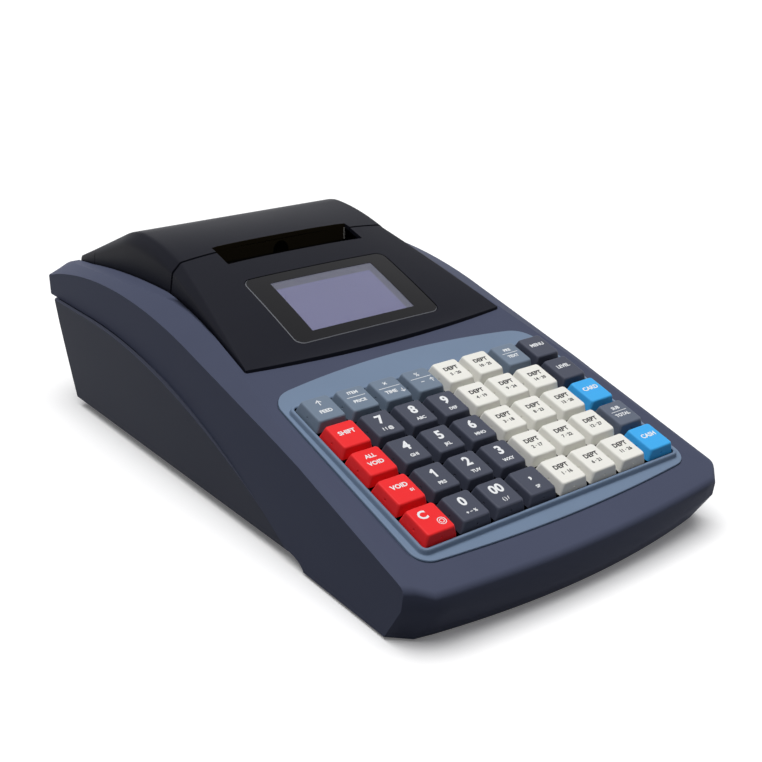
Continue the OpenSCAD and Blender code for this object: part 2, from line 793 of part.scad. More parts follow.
module display_cover() {
    color("#2c2d33")
    difference() {
        union() {
            difference() {
                intersection() {
                    cover_form(fit, ledge_top);
                    linear_extrude(far)
                        polygon(well_plan(-fit));
                }
                difference() {
                    cover_form(fit + skin, ledge_top - 1);
                    translate([-far, cover_y - 20, 0])
                        cube([2 * far, 22, far]);
                }
                translate([-well_w / 2 + skin + 1, seam_y - 2, ledge_top - 1])
                    cube([well_w - 2 * skin - 2, 10, seam_h - skin - shoulder - ledge_top - 2]);
            }
            // posts that carry the display
            on_cover()
                for (x = [-post_x, post_x], s = [-post_s, post_s])
                    translate([x, s, carrier_top])
                        cylinder(h = -window_t - 0.1 - carrier_top, d = post_d, $fn = 40);
        }
        on_cover()
            translate([0, 0, -window_t])
                rounded_block(window_w + 0.2, window_l + 0.2, 20, 5);
        on_cover()
            translate([0, 0, -20])
                block(lcd_w, lcd_l, 30);
        translate([-slot_w / 2, seam_y - slot_front, ledge_top + 10])
            cube([slot_w, 40, far]);
    }
}

module display_window() {
    color("#15151a")
    on_cover()
        translate([0, 0, -window_t])
            rounded_block(window_w, window_l, window_t, 5);
}

module display_module() {
    top = -window_t - 0.1;
    color("#8080a4")
    on_cover() {
        translate([0, 0, top - skin])
            block(lcd_w - 0.6, lcd_l - 0.6, skin);
        translate([0, 0, top - skin - module_t + 1])
            block(lcd_w + 12, lcd_l + 8, module_t - 1);
        translate([0, 0, carrier_top - board_t])
            block(2 * post_x + 5.4, 2 * post_s + 5.2, board_t);
    }
}

// ---- lid ----

// Height of the lid's top edges: an arch from the seam over the ridge, then a straight fall
function lid_edge(y) = let (u = (y - lid_y) / ridge_run)
    y < ridge_y ? seam_h + (ridge_h - seam_h) * (1.72 * u - 0.72 * u * u)
    : let (v = (y - ridge_y) / (hinge_y + 2 - ridge_y))
        ridge_h - (ridge_h - tail_z) * (v < 0.25 ? 2 * v * v : v - 0.125) / 0.875;

function lid_spread(y) = y < ridge_y ? 0 : (y - ridge_y) / (rear_y - ridge_y);

module lid_form(inset, foot) {
    top_half = seam_top_w / 2;
    hull() {
        for (i = [0:lid_stations]) {
            y = lid_y + i * (hinge_y + 2 - lid_y) / lid_stations;
            t = lid_spread(y);
            slice(y, foot, lid_edge(y), top_half + t * (lid_w / 2 - top_half - 1), lid_w / 2,
                shoulder * (1 - 0.7 * t), y < ridge_y ? crown * (ridge_y - y) / ridge_run : 0, inset);
        }
        rod(-lid_w / 2 + inset, lid_w / 2 - inset, 2 * (barrel_r - inset), hinge_y, hinge_h, 32);
    }
}

module paper_lid() {
    bracket_h = lid_edge(platen_y) - platen_z;
    color("#2c2d33")
    difference() {
        union() {
            difference() {
                lid_form(0, lid_foot);
                intersection() {
                    lid_form(skin, lid_foot - 1);
                    translate([-far, lid_y - 1, 0])
                        cube([2 * far, hinge_y - barrel_r - lid_y, far]);
                }
                translate([-lid_w / 2 + skin, lid_y - 1, lid_foot - 1])
                    cube([lid_w - 2 * skin, 6, seam_h - skin - shoulder - 2 - lid_foot]);
                translate([-lid_w / 2 + skin, lid_y, lid_foot - 1])
                    cube([lid_w - 2 * skin, hinge_y - barrel_r - lid_y - 1, 3]);
            }
            for (x = [-bracket_in - bracket_t, bracket_in])
                translate([x, platen_y - shaft_d, platen_z])
                    cube([bracket_t, 2 * shaft_d, bracket_h]);
            for (x = [-bracket_in - bracket_t, bracket_in])
                rod(x, x + bracket_t, 2 * shaft_d, platen_y, platen_z);
        }
        rod(-far, far, pin_d + 2 * run_fit, hinge_y, hinge_h);
        rod(-far, far, shaft_d + run_fit, platen_y, platen_z);
        translate([-slot_w / 2, lid_y - 5, platen_z + shaft_d + 4])
            cube([slot_w, slot_rear + 5, far]);
    }
}

module lid_hinge_pin() {
    color("#b4b8bd")
    rod(-well_w / 2 - wall, well_w / 2 + wall, pin_d, hinge_y, hinge_h);
}

// ---- printer ----

module side_plate() {
    front = head_y - carrier_t - 3;
    back = trough_y + trough_r + 2;
    outline = [[front, floor_top], [front + 10, floor_top], [front + 15, trough_z - 26],
        [trough_y - 24, trough_z - 41], [trough_y + 24, trough_z - 41], [back - 10, trough_z - 30],
        [back - 10, floor_top], [back, floor_top], [back, trough_z + 9], [platen_y + 16, trough_z + 9],
        [platen_y + 9, platen_z + 5], [front, platen_z + 5]];
    across(outline, side_t / 2);
}

module printer_frame() {
    shelf_z = trough_z - 6;
    plate_y = pinion_y - motor_d / 2 - 1;
    color("#26272b")
    difference() {
        union() {
            for (s = [-1, 1])
                translate([s * (side_in + side_t / 2), 0, 0])
                    side_plate();
            intersection() {
                difference() {
                    rod(-side_in - 0.5, side_in + 0.5, 2 * trough_r + 2 * wall, trough_y, trough_z, 96);
                    rod(-side_in, side_in, 2 * trough_r, trough_y, trough_z, 96);
                }
                translate([-far, -far, -far + trough_z])
                    cube([2 * far, 2 * far, far]);
            }
            translate([-side_in - 0.5, head_y - carrier_t, shelf_z])
                cube([2 * side_in + 1, carrier_t, platen_z + 4 - shelf_z]);
            translate([-side_in - 0.5, head_y - carrier_t, shelf_z])
                cube([2 * side_in + 1, trough_y - trough_r - head_y + carrier_t - 0.3, wall]);
            translate([side_in, plate_y, shelf_z])
                cube([motor_x - side_in, motor_d + 2, wall]);
            translate([motor_x - motor_plate_t, plate_y, shelf_z])
                cube([motor_plate_t, motor_d + 2, pinion_z + 6 - shelf_z]);
        }
        // open seats for the roller's shaft
        for (s = [-1, 1])
            translate([s * (side_in + side_t / 2), 0, 0]) {
                across([[platen_y - shaft_d / 2 - run_fit, platen_z],
                    [platen_y + shaft_d / 2 + run_fit, platen_z],
                    [platen_y + shaft_d / 2 + 3, platen_z + 8],
                    [platen_y - shaft_d / 2 - 1, platen_z + 8]], side_t);
                rod(-side_t, side_t, shaft_d + 2 * run_fit, platen_y, platen_z);
            }
        rod(motor_x - 5, motor_x + 5, 6 + run_fit, pinion_y, pinion_z);
    }
}

module print_head() {
    color("#b9bcc2")
    difference() {
        translate([-paper_w / 2 - 0.5, head_y, platen_z - head_drop])
            cube([paper_w + 1, head_t, head_l]);
        for (x = [-head_bore_x, head_bore_x])
            translate([x, head_y + 2 * head_t, platen_z - head_bore_drop])
                rotate([90, 0, 0])
                    cylinder(h = 3 * head_t, d = head_bore_d, $fn = 32);
    }
}

module platen_roller() {
    shaft_x0 = side_in + side_t + 1;
    color("#303135") {
        rod(-paper_w / 2, paper_w / 2, platen_d, platen_y, platen_z, 64);
        rod(-shaft_x0, gear_x + gear_t, shaft_d, platen_y, platen_z);
        gear(platen_teeth, gear_x, platen_y, platen_z, mesh_a);
    }
}

module motor_pinion() {
    color("#d8d4c6")
    difference() {
        gear(pinion_teeth, gear_x, pinion_y, pinion_z, mesh_a + 180 + 180 / pinion_teeth);
        rod(gear_x - 1, gear_x + gear_t + 1, motor_shaft_d + run_fit, pinion_y, pinion_z, 32);
    }
}

module feed_motor() {
    color("#9ea1a6") {
        rod(motor_x, motor_x + motor_l, motor_d, pinion_y, pinion_z, 64);
        rod(motor_x - motor_plate_t, motor_x, 6, pinion_y, pinion_z, 40);
        rod(gear_x, motor_x, motor_shaft_d, pinion_y, pinion_z, 32);
    }
}

module paper_roll() {
    color("#f4f3ee")
    difference() {
        rod(-paper_w / 2, paper_w / 2, roll_d, trough_y, roll_z, 128);
        rod(-paper_w / 2 - 1, paper_w / 2 + 1, core_d, trough_y, roll_z, 64);
    }
}

// ---- boards ----

module main_board() {
    color("#2f6b45")
    translate([0, main_y, board_z]) {
        block(main_w, main_l, board_t);
        translate([-30, 10, board_t])
            block(22, 22, 1.6);
        translate([12, 14, board_t])
            block(14, 10, 1.4);
        translate([48, -20, board_t])
            block(34, 24, 9);
        translate([-55, -38, board_t])
            block(20, 6, 8);
        for (x = [-8, 6])
            translate([x, -34, board_t])
                cylinder(h = 11, d = 8, $fn = 40);
    }
}

// Power socket, data socket and drawer socket, as [middle, width]
socket_places = [[-26, 11], [-4, 12], [20, 13]];

module rear_sockets() {
    color("#1f2023")
    translate([0, socket_y, board_z]) {
        translate([0, -socket_board_set, 0])
            block(socket_board_w, socket_board_l, board_t);
        difference() {
            for (p = socket_places)
                translate([p[0] - p[1] / 2, -6, board_t])
                    cube([p[1], 18.5, socket_h]);
            translate([socket_places[0][0], 3, board_t + socket_h / 2])
                rotate([-90, 0, 0])
                    cylinder(h = 20, d = jack_d, $fn = 40);
            translate([socket_places[1][0] - 4.3, 3, board_t + 2])
                cube([8.6, 20, 8.4]);
            translate([socket_places[2][0] - 5, 1, board_t + 2.5])
                cube([10, 20, 7]);
        }
        translate([socket_places[0][0], 1, board_t + socket_h / 2])
            rotate([-90, 0, 0])
                cylinder(h = 9, d = 2, $fn = 24);
    }
}

lower_case();
upper_case();
keypad_bezel();
key_dome_mat();
key_board();
display_cover();
display_window();
display_module();
paper_lid();
lid_hinge_pin();
printer_frame();
print_head();
platen_roller();
motor_pinion();
feed_motor();
paper_roll();
main_board();
rear_sockets();
rubber_feet();
case_screws();
for (r = [1:key_rows], c = [1:key_cols])
    key(r, c);
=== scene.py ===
# %% [markdown]
# # Ticket register
# A small cash register: a two-part arched case of slate plastic, forty sprung keys in a raised bezel,
# a display under a dark window and a hinged lid over the paper roll. The engineering model gives the
# solids and the joints. This lesson dresses them, so each shell gets soft edges, true crowns and a
# moulded finish, and stays exactly where the solid is.

# %% Load the engineering frame
import json
import math

import bmesh
import bpy
import numpy as np
from mathutils import Matrix, Vector
from mathutils.geometry import tessellate_polygon

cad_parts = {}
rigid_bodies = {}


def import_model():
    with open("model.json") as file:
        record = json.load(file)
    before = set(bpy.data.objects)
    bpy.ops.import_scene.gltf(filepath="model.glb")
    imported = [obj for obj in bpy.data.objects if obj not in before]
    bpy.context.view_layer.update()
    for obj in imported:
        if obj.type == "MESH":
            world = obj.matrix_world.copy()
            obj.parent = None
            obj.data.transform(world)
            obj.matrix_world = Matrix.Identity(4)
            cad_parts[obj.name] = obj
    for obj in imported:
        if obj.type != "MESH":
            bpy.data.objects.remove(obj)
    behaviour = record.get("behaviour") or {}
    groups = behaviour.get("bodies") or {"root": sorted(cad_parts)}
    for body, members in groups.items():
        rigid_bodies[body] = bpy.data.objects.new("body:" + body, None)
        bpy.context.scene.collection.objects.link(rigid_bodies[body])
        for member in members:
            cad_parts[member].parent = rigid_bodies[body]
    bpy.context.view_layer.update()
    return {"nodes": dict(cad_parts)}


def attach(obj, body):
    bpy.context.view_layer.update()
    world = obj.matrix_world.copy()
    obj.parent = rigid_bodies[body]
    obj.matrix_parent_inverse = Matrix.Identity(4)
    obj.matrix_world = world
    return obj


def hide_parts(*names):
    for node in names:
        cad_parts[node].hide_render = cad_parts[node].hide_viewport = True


for leftover in list(bpy.data.objects):
    bpy.data.objects.remove(leftover)
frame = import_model()

# %% [markdown]
# ## Sizes
# Lengths are kept in millimetres, as a drawing gives them, and are turned into metres only when a mesh
# is made. These values repeat the ones that drive the solids, so every new surface meets its neighbours.

# %% Sizes of the case, the keys and the lid
MM = 0.001
FRONT_Y, REAR_Y = -181.5, 181.5
TILT = math.radians(17)  # of the deck that carries the keys
LIP_H = 27.3  # height of the deck at its front edge
ARCH_R, TAIL_R = 231, 620  # radii of the arch of the side rails, before and behind its top
PARTING_H, PARTING_R, PARTING_RUN = 65.4, 360, 63  # the halves meet level at the rear, then on an arc
KEY_Y = FRONT_Y + 72
PITCH_X, PITCH_Y = 19.0, 20.0
FRAME_W, FRAME_L = 151.6, 99.6  # the opening round the keys
COVER_Y = FRONT_Y + 153
SEAM_Y = COVER_Y + 87.7  # where the cover meets the lid
FIT = 0.3
WALL = 2.5  # thickness of the cover and the lid
SEAM_H, COVER_H = 106.2, 75.8  # height of the cover at the seam and at its front edge
COVER_TILT = math.atan((SEAM_H - COVER_H) / (SEAM_Y - COVER_Y))
RAIL_FALL = 1.4  # how far the rails fall towards the cover and the lid, whose sides reach down as far
HINGE_Y, HINGE_Z, BARREL_R = REAR_Y - 9.6, 77.6, 9.2


def deck_z(y):
    return LIP_H + (y - FRONT_Y) * math.tan(TILT)


def case_z(y):
    """Height of the deck and of the ridges of the side rails."""
    if y < 0:
        return deck_z(y)
    top_y, top_z = ARCH_R * math.sin(TILT), deck_z(0) + ARCH_R * (1 - math.cos(TILT))
    radius = ARCH_R if y < top_y else TAIL_R
    return top_z - radius + math.sqrt(radius**2 - (y - top_y) ** 2)


def parting_z(y):
    """Height of the line where the two halves of the case meet."""
    start = REAR_Y - PARTING_RUN
    if y > start:
        return PARTING_H
    return PARTING_H - PARTING_R + math.sqrt(PARTING_R**2 - (start - y) ** 2)


deck_frame = Matrix.Translation((0, KEY_Y, deck_z(KEY_Y))) @ Matrix.Rotation(TILT, 4, "X")
print("deck at the keys:", round(deck_z(KEY_Y), 2), "mm")

# %% [markdown]
# ## Shader maths
# A finish is easier to read as a sum than as a picture of wires. The class below wraps one output, and
# each operator adds the Math node that it stands for. Every other node comes from one method.

# %% Wires and finishes


class Wire:
    """One output of a node. Sums and products of wires add Math nodes."""

    def __init__(self, finish, socket):
        self.finish, self.socket = finish, socket

    def math(self, operation, *others):
        return self.finish.add("ShaderNodeMath", {"operation": operation}, dict(enumerate((self,) + others)))

    def __add__(self, other):
        return self.math("ADD", other)

    def __mul__(self, other):
        return self.math("MULTIPLY", other)

    def __sub__(self, other):
        return self.math("SUBTRACT", other)

    __radd__ = __add__
    __rmul__ = __mul__


class Finish:
    """The nodes of a new material, or of the world if that is given."""

    def __init__(self, name="", world=None):
        self.material = world or bpy.data.materials.new(name)
        self.material.use_nodes = True
        self.tree = self.material.node_tree
        self.shader = self.tree.nodes["Background" if world else "Principled BSDF"]

    def add(self, kind, settings, inputs, output=0):
        node = self.tree.nodes.new(kind)
        for key, value in settings.items():
            setattr(node, key, value)
        for key, value in inputs.items():
            self.feed(node.inputs[key], value)
        return Wire(self, node.outputs[output])

    def feed(self, socket, value):
        if isinstance(value, Wire):
            self.tree.links.new(value.socket, socket)
        else:
            socket.default_value = value

    def mix(self, factor, a, b):
        return self.add("ShaderNodeMix", {"data_type": "RGBA"}, {0: factor, 6: a, 7: b}, 2)

    def set(self, **values):
        for key, value in values.items():
            self.feed(self.shader.inputs[key.replace("_", " ")], value)
        return self

    def place(self):
        return self.add("ShaderNodeTexCoord", {}, {}, "Object")

    def noise(self, size, detail):
        """Cloudy variation whose blobs are about size millimetres across."""
        return self.add("ShaderNodeTexNoise", {}, {
            "Vector": self.place(), "Scale": 1 / (size * MM), "Detail": detail, "Roughness": 0.5})

    def bump(self, height, depth):
        """Small relief, depth millimetres deep."""
        self.set(Normal=self.add("ShaderNodeBump", {}, {
            "Height": height, "Distance": depth * MM, "Strength": 1.0}))
        return self


def rgb(red, green, blue):
    """A colour given in screen values from 0 to 255, as the linear values that a shader takes."""
    def linear(v):
        v /= 255
        return v / 12.92 if v <= 0.04045 else ((v + 0.055) / 1.055) ** 2.4
    return (linear(red), linear(green), linear(blue), 1.0)


# %% [markdown]
# ## Moulded plastic
# The case, bezel and keys are injection moulded, and the tool's surface is spark-eroded, so the plastic
# has a fine even grain. Two noises do it: a fine one for the grain's bumps, and a broad one that shifts
# the colour and the gloss a little, as handling and the flow of the plastic do.

# %% Plastic finishes


def plastic(name, colour, rough=0.55, grain=0.35, depth=0.03, level=0.1, shift=0.06):
    """A moulding: size and depth of its grain in millimetres, level of its gloss, shift of its shade."""
    finish = Finish(name)
    broad = finish.noise(38, 3)
    fine = finish.noise(grain, 2)
    dark = tuple(c * (1 - shift) for c in colour[:3]) + (1,)
    light = tuple(min(1, c * (1 + shift)) for c in colour[:3]) + (1,)
    finish.set(Base_Color=finish.mix(broad, dark, light), Roughness=rough - 0.04 + 0.08 * broad,
               Specular_IOR_Level=level)
    return finish.bump(fine, depth).material


case_upper = plastic("slate_moulding", rgb(74, 79, 99), level=0.04)
case_lower = plastic("dark_slate_moulding", rgb(68, 71, 84), level=0.04)
bezel_blue = plastic("steel_blue_moulding", rgb(114, 132, 156), rough=0.42, depth=0.015, level=0.12)
cover_black = plastic("black_moulding", rgb(28, 29, 37), rough=0.4, depth=0.02, level=0.04)
slot_brown = plastic("slot_lining", rgb(37, 32, 22), rough=0.8, depth=0.01, level=0.0)
# Near-black painted shade of a recess, on the round-topped mark in the middle of the slot.
slot_shade = plastic("painted_recess_shade", rgb(8, 6, 5), rough=0.8, depth=0.01, level=0.0)
# Light grey painted highlight for the lit vertical edge at the slot's right end.
slot_end_highlight = plastic("painted_slot_end_highlight", rgb(150, 148, 144), rough=0.4, depth=0.005)
# Near-black painted shade for the gaps between the keys: the floor under them, and each cap's plunger and
# stem.
painted_gap_shade = plastic("painted_key_gap_shade", rgb(14, 15, 18), rough=0.8, depth=0.01, level=0.0)
key_colours = {
    "key_ivory": rgb(238, 237, 230), "key_dark": rgb(66, 70, 85), "key_red": rgb(240, 40, 44),
    "key_steel": rgb(112, 127, 145), "key_sky": rgb(62, 172, 240), "key_grey": rgb(92, 100, 116)}
key_finishes = {k: plastic(k, c, rough=0.45, grain=0.5, depth=0.008, level=0.2, shift=0.03)
                for k, c in key_colours.items()}
white_print = plastic("white_print", rgb(236, 238, 240), rough=0.5, depth=0.004)
black_print = plastic("black_print", rgb(28, 28, 32), rough=0.5, depth=0.004)
window_black = plastic("window_border", rgb(20, 20, 24), rough=0.14, grain=20, depth=0.01, level=0.12)
# Light grey on the window's bevelled rim: painted reflection of bright surroundings in that edge.
rim_reflection_paint = plastic("painted_rim_reflection", rgb(120, 122, 128), rough=0.3, grain=20, depth=0.01)
lcd_active = plastic("crystal_panel", rgb(126, 126, 166), rough=0.22, grain=0.6, depth=0.002, level=0.5)
lcd_border = plastic("crystal_border", rgb(98, 100, 118), rough=0.3, grain=0.6, depth=0.002, level=0.5)
clear = plastic("clear_window", rgb(120, 122, 140), rough=0.06, grain=30, depth=0.005, level=0.5)
clear.node_tree.nodes["Principled BSDF"].inputs["Alpha"].default_value = 0.12
print("plastics:", len(bpy.data.materials))

# %% [markdown]
# ## Making a piece
# Every mesh is made from plain lists of points, shaded smooth up to a crease angle, and handed to the
# body that it moves with. The same helper fills its finish slots and hides the solids that the piece stands
# for.

# %% Mesh helpers


def flat_faces_first(mesh):
    """Weight the normals by area, so that flats stay flat and only the roundings between them shade."""
    obj = bpy.data.objects.new("blank", mesh)
    bpy.context.scene.collection.objects.link(obj)
    weights = obj.modifiers.new("weights", "WEIGHTED_NORMAL")
    weights.mode, weights.weight, weights.keep_sharp = "FACE_AREA", 80, True
    bpy.context.view_layer.update()
    result = bpy.data.meshes.new_from_object(obj.evaluated_get(bpy.context.evaluated_depsgraph_get()))
    bpy.data.objects.remove(obj)
    return result


def finish_piece(mesh, name, body, finishes, replaces=(), crease=28):
    """Make an object that rides on a body, smooth up to the crease angle, in place of the named solids."""
    for material in finishes:
        mesh.materials.append(material)
    mesh.polygons.foreach_set("use_smooth", [True] * len(mesh.polygons))
    mesh.set_sharp_from_angle(angle=math.radians(crease))
    mesh.update()
    obj = bpy.data.objects.new(name, flat_faces_first(mesh))
    bpy.context.scene.collection.objects.link(obj)
    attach(obj, body)
    if replaces:
        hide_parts(*replaces)


def mesh_from(points, faces, name="part", matrix=None, kinds=None):
    """Points in millimetres, in the frame that matrix places."""
    mesh = bpy.data.meshes.new(name)
    matrix = matrix or Matrix.Identity(4)
    mesh.from_pydata([(matrix @ Vector(p)) * MM for p in points], [], faces)
    if kinds is not None:
        mesh.polygons.foreach_set("material_index", kinds)
    bm = bmesh.new()
    bm.from_mesh(mesh)
    bmesh.ops.recalc_face_normals(bm, faces=bm.faces)
    bm.to_mesh(mesh)
    bm.free()
    return mesh


def cut(mesh, *cutters, mode="DIFFERENCE"):
    """Carve closed meshes out of a closed mesh, or join them to it, and return the closed result."""
    obj = bpy.data.objects.new("blank", mesh)
    bpy.context.scene.collection.objects.link(obj)
    helpers = []
    for cutter in cutters:
        helper = bpy.data.objects.new("cutter", cutter)
        bpy.context.scene.collection.objects.link(helper)
        helpers.append(helper)
        step = obj.modifiers.new("cut", "BOOLEAN")
        step.operation, step.solver, step.object = mode, "MANIFOLD", helper
    bpy.context.view_layer.update()
    result = bpy.data.meshes.new_from_object(obj.evaluated_get(bpy.context.evaluated_depsgraph_get()))
    for helper in helpers + [obj]:
        bpy.data.objects.remove(helper)
    result.materials.clear()
    return result


def join_meshes(mesh, extras):
    """Add meshes to a mesh, each with the number of its finish."""
    bm = bmesh.new()
    bm.from_mesh(mesh)
    for extra, kind in extras:
        known = len(bm.faces)
        bm.from_mesh(extra)
        bm.faces.ensure_lookup_table()
        for face in bm.faces[known:]:
            face.material_index = kind
    return to_mesh(bm, mesh.name)


def arc(cx, cy, radius, start, end, steps):
    turns = [math.radians(start + (end - start) * i / steps) for i in range(steps + 1)]
    return [(cx + radius * math.cos(a), cy + radius * math.sin(a)) for a in turns]


def round_rect(width, length, radius, steps=5):
    w, l = width / 2 - radius, length / 2 - radius
    return (arc(w, -l, radius, -90, 0, steps) + arc(w, l, radius, 0, 90, steps)
            + arc(-w, l, radius, 90, 180, steps) + arc(-w, -l, radius, 180, 270, steps))


def stack(rings, caps=(True, True)):
    """Walls through rings of equally many (x, y, z) points, with a cap at each end if wanted."""
    count = len(rings[0])
    points = [p for ring in rings for p in ring]
    faces = [(r * count + i, r * count + (i + 1) % count, (r + 1) * count + (i + 1) % count,
              (r + 1) * count + i) for r in range(len(rings) - 1) for i in range(count)]
    if caps[0]:
        faces.append(tuple(range(count))[::-1])
    if caps[1]:
        faces.append(tuple(range((len(rings) - 1) * count, len(rings) * count)))
    return points, faces


def level(ring, z):
    return [(x, y, z) for x, y in ring]


def box_mesh(low, high, matrix=None):
    (x0, y0, z0), (x1, y1, z1) = low, high
    ring = [(x0, y0), (x1, y0), (x1, y1), (x0, y1)]
    return mesh_from(*stack([level(ring, z0), level(ring, z1)]), matrix=matrix)


def edge_soften(bm, width, segments, wanted, angle=25):
    edges = [e for e in bm.edges if len(e.link_faces) == 2
             and e.calc_face_angle(0) > math.radians(angle) and wanted(e)]
    if edges:
        bmesh.ops.bevel(bm, geom=edges, offset=width * MM, segments=segments, profile=0.5,
                        affect="EDGES", clamp_overlap=True)
    return len(edges)


# %% [markdown]
# ## The case halves
# The solids of the two shells are right in shape, but their edges are knife-sharp, and no moulding has
# such edges. A copy of each solid is cleaned of its triangles, so that each flat is one face, and then
# its edges are rounded: most along the front lip and round the end of the nose, less along the ridges,
# the sides and the foot. Very short edges are merged first, since the shortest edge limits a rounding.

# %% Copy a solid and clean it


def clean_copy(node):
    bm = bmesh.new()
    bm.from_mesh(frame["nodes"][node].data)
    bmesh.ops.remove_doubles(bm, verts=bm.verts, dist=0.004 * MM)
    bmesh.ops.dissolve_limit(bm, angle_limit=math.radians(0.3), verts=bm.verts, edges=bm.edges)
    return bm


def to_mesh(bm, name):
    mesh = bpy.data.meshes.new(name)
    bm.to_mesh(mesh)
    bm.free()
    return mesh


def middle(edge):
    return (edge.verts[0].co + edge.verts[1].co) / 2 / MM


def on_lip(edge):
    """Along the front of the deck, but short of the opening for the keys."""
    m = middle(edge)
    return m.y < FRONT_Y + 14.5 and abs(m.z - deck_z(m.y)) < 1.6 and m.z > 25


def on_foot(edge):
    """Along the bottom of the front wall."""
    m = middle(edge)
    return m.y < -60 and m.z < 1.5


def on_ridge(edge):
    """Along the crest of a side rail."""
    m = middle(edge)
    run = edge.verts[0].co - edge.verts[1].co
    return 78 < abs(m.x) < 88 and m.z > 60 and m.z > case_z(m.y) - 1.5 and abs(run.y) > 0.5 * run.length


def on_nose(edge):
    """Round the top of the rear end of a rail, on its outer face."""
    m = middle(edge)
    return m.y > 174 and abs(m.x) > 80 and m.z > 73 and (m.y > 179.5 or abs(m.x) > 91)


def on_side(edge):
    """On the outer faces, but not where the halves meet."""
    m = middle(edge)
    return (abs(m.x) > 90.5 or m.y > 174) and abs(m.z - parting_z(m.y)) > 1.2


# %% The upper shell


def merge_close(bm, limit, wanted):
    """Merge the vertices that wanted picks by their place, where they lie closer together than limit."""
    bmesh.ops.remove_doubles(bm, verts=[v for v in bm.verts if wanted(*(v.co / MM))], dist=limit * MM)


def curl_nose(bm):
    """Curl the top of the nose down at its outer rear corner."""
    for v in bm.verts:
        x, y, z = abs(v.co.x) / MM, v.co.y / MM, v.co.z / MM
        if y > 175 and z > 76.5 and x > 82 and (x > 91 or y > 179.5):
            v.co.z -= 4.5 * MM * ((y - 175) / 6.5) ** 4 * min(1, (x - 82) / 8)


def sink_rails(bm):
    """Let the rails fall a little towards the cover and the lid, which makes their crest a ridge."""
    for v in bm.verts:
        x, y, z = v.co / MM
        if 72 < abs(x) < 78 and COVER_Y < y < 176 and abs(z - case_z(y)) < 0.4:
            ramp = min(1, (y - COVER_Y) / 60, (178 - y) / 20)
            v.co.z -= RAIL_FALL * MM * ramp
            v.co.x += math.copysign(0.3 * MM * ramp, x)


upper_bm = clean_copy("upper_case")
merge_close(upper_bm, 1.6, lambda x, y, z: y < -150 and abs(x) > 80)
merge_close(upper_bm, 1.2, lambda x, y, z: y > 180.8 and z > 77 and abs(x) > 86)
curl_nose(upper_bm)
sink_rails(upper_bm)
for place, width, segments, wanted, angle in (
        ("lip", 2.7, 6, on_lip, 25), ("foot", 1.2, 3, on_foot, 25), ("nose", 1.9, 4, on_nose, 30),
        ("ridge", 1.4, 3, on_ridge, 12), ("side", 0.7, 3, on_side, 30)):
    print(place, "edges:", edge_soften(upper_bm, width, segments, wanted, angle))
finish_piece(to_mesh(upper_bm, "upper_case"), "upper_shell", "case",
             [case_upper], ["upper_case"])

# %% The lower shell


def on_ledge(edge):
    """Along the top of its side walls, where a light line shows under the upper shell."""
    m = middle(edge)
    return m.y > -120 and abs(m.x) > 91 and abs(m.z - parting_z(m.y)) < 0.4


lower_bm = clean_copy("lower_case")
for v in lower_bm.verts:
    y, z = v.co.y / MM, v.co.z / MM
    if y > -130 and abs(z - parting_z(y) + 0.2) < 0.06:
        v.co.z += 0.19 * MM
print("ledge edges:", edge_soften(lower_bm, 1.6, 3, on_ledge, 40))
print("lower edges:", edge_soften(lower_bm, 0.5, 2, lambda edge: middle(edge).z < 64))
finish_piece(to_mesh(lower_bm, "lower_case"), "lower_shell", "case",
             [case_lower], ["lower_case"])

# %% [markdown]
# ## The key bezel
# The bezel is a satin plate with a bowed front and back, and a rounded bead stands round the keys. It
# is made from rings: each ring is an outline at one height, and the walls between them are the surface.

# %% Bezel outline and rings
FRONT_EDGE = (81, 9, 3.4)  # half the width, the corner radius and the bow of the bezel's front edge
REAR_EDGE = (79.5, 13, 6)  # the same of its rear edge
FRONT_EDGE_Y, REAR_EDGE_Y = -58.9, 71.3  # where their middles lie, from the middle of the keys


def bowed_edge(half, radius, bow, steps):
    """An edge that bows outward between two round corners, its middle at the origin."""
    a = math.atan(2 * bow / (half - radius))
    c = half - radius + radius * math.sin(a)
    h = c * math.tan(a) / 2 + radius * math.cos(a)
    turn = math.degrees(a)
    mid = [(x, math.tan(a) / (2 * c) * x * x) for x in
           [-c + i * c / (2 * steps) for i in range(1, 4 * steps)]]
    return (arc(-(half - radius), h, radius, 180, 270 - turn, steps) + mid
            + arc(half - radius, h, radius, 270 + turn, 360, steps))


def bezel_plan(grow):
    """The bezel's outline, moved outward by grow."""
    front, rear = [bowed_edge(half + grow, radius + grow, bow, 8)
                   for half, radius, bow in (FRONT_EDGE, REAR_EDGE)]
    return ([(x, y + FRONT_EDGE_Y - grow) for x, y in front]
            + [(-x, REAR_EDGE_Y + grow - y) for x, y in rear])


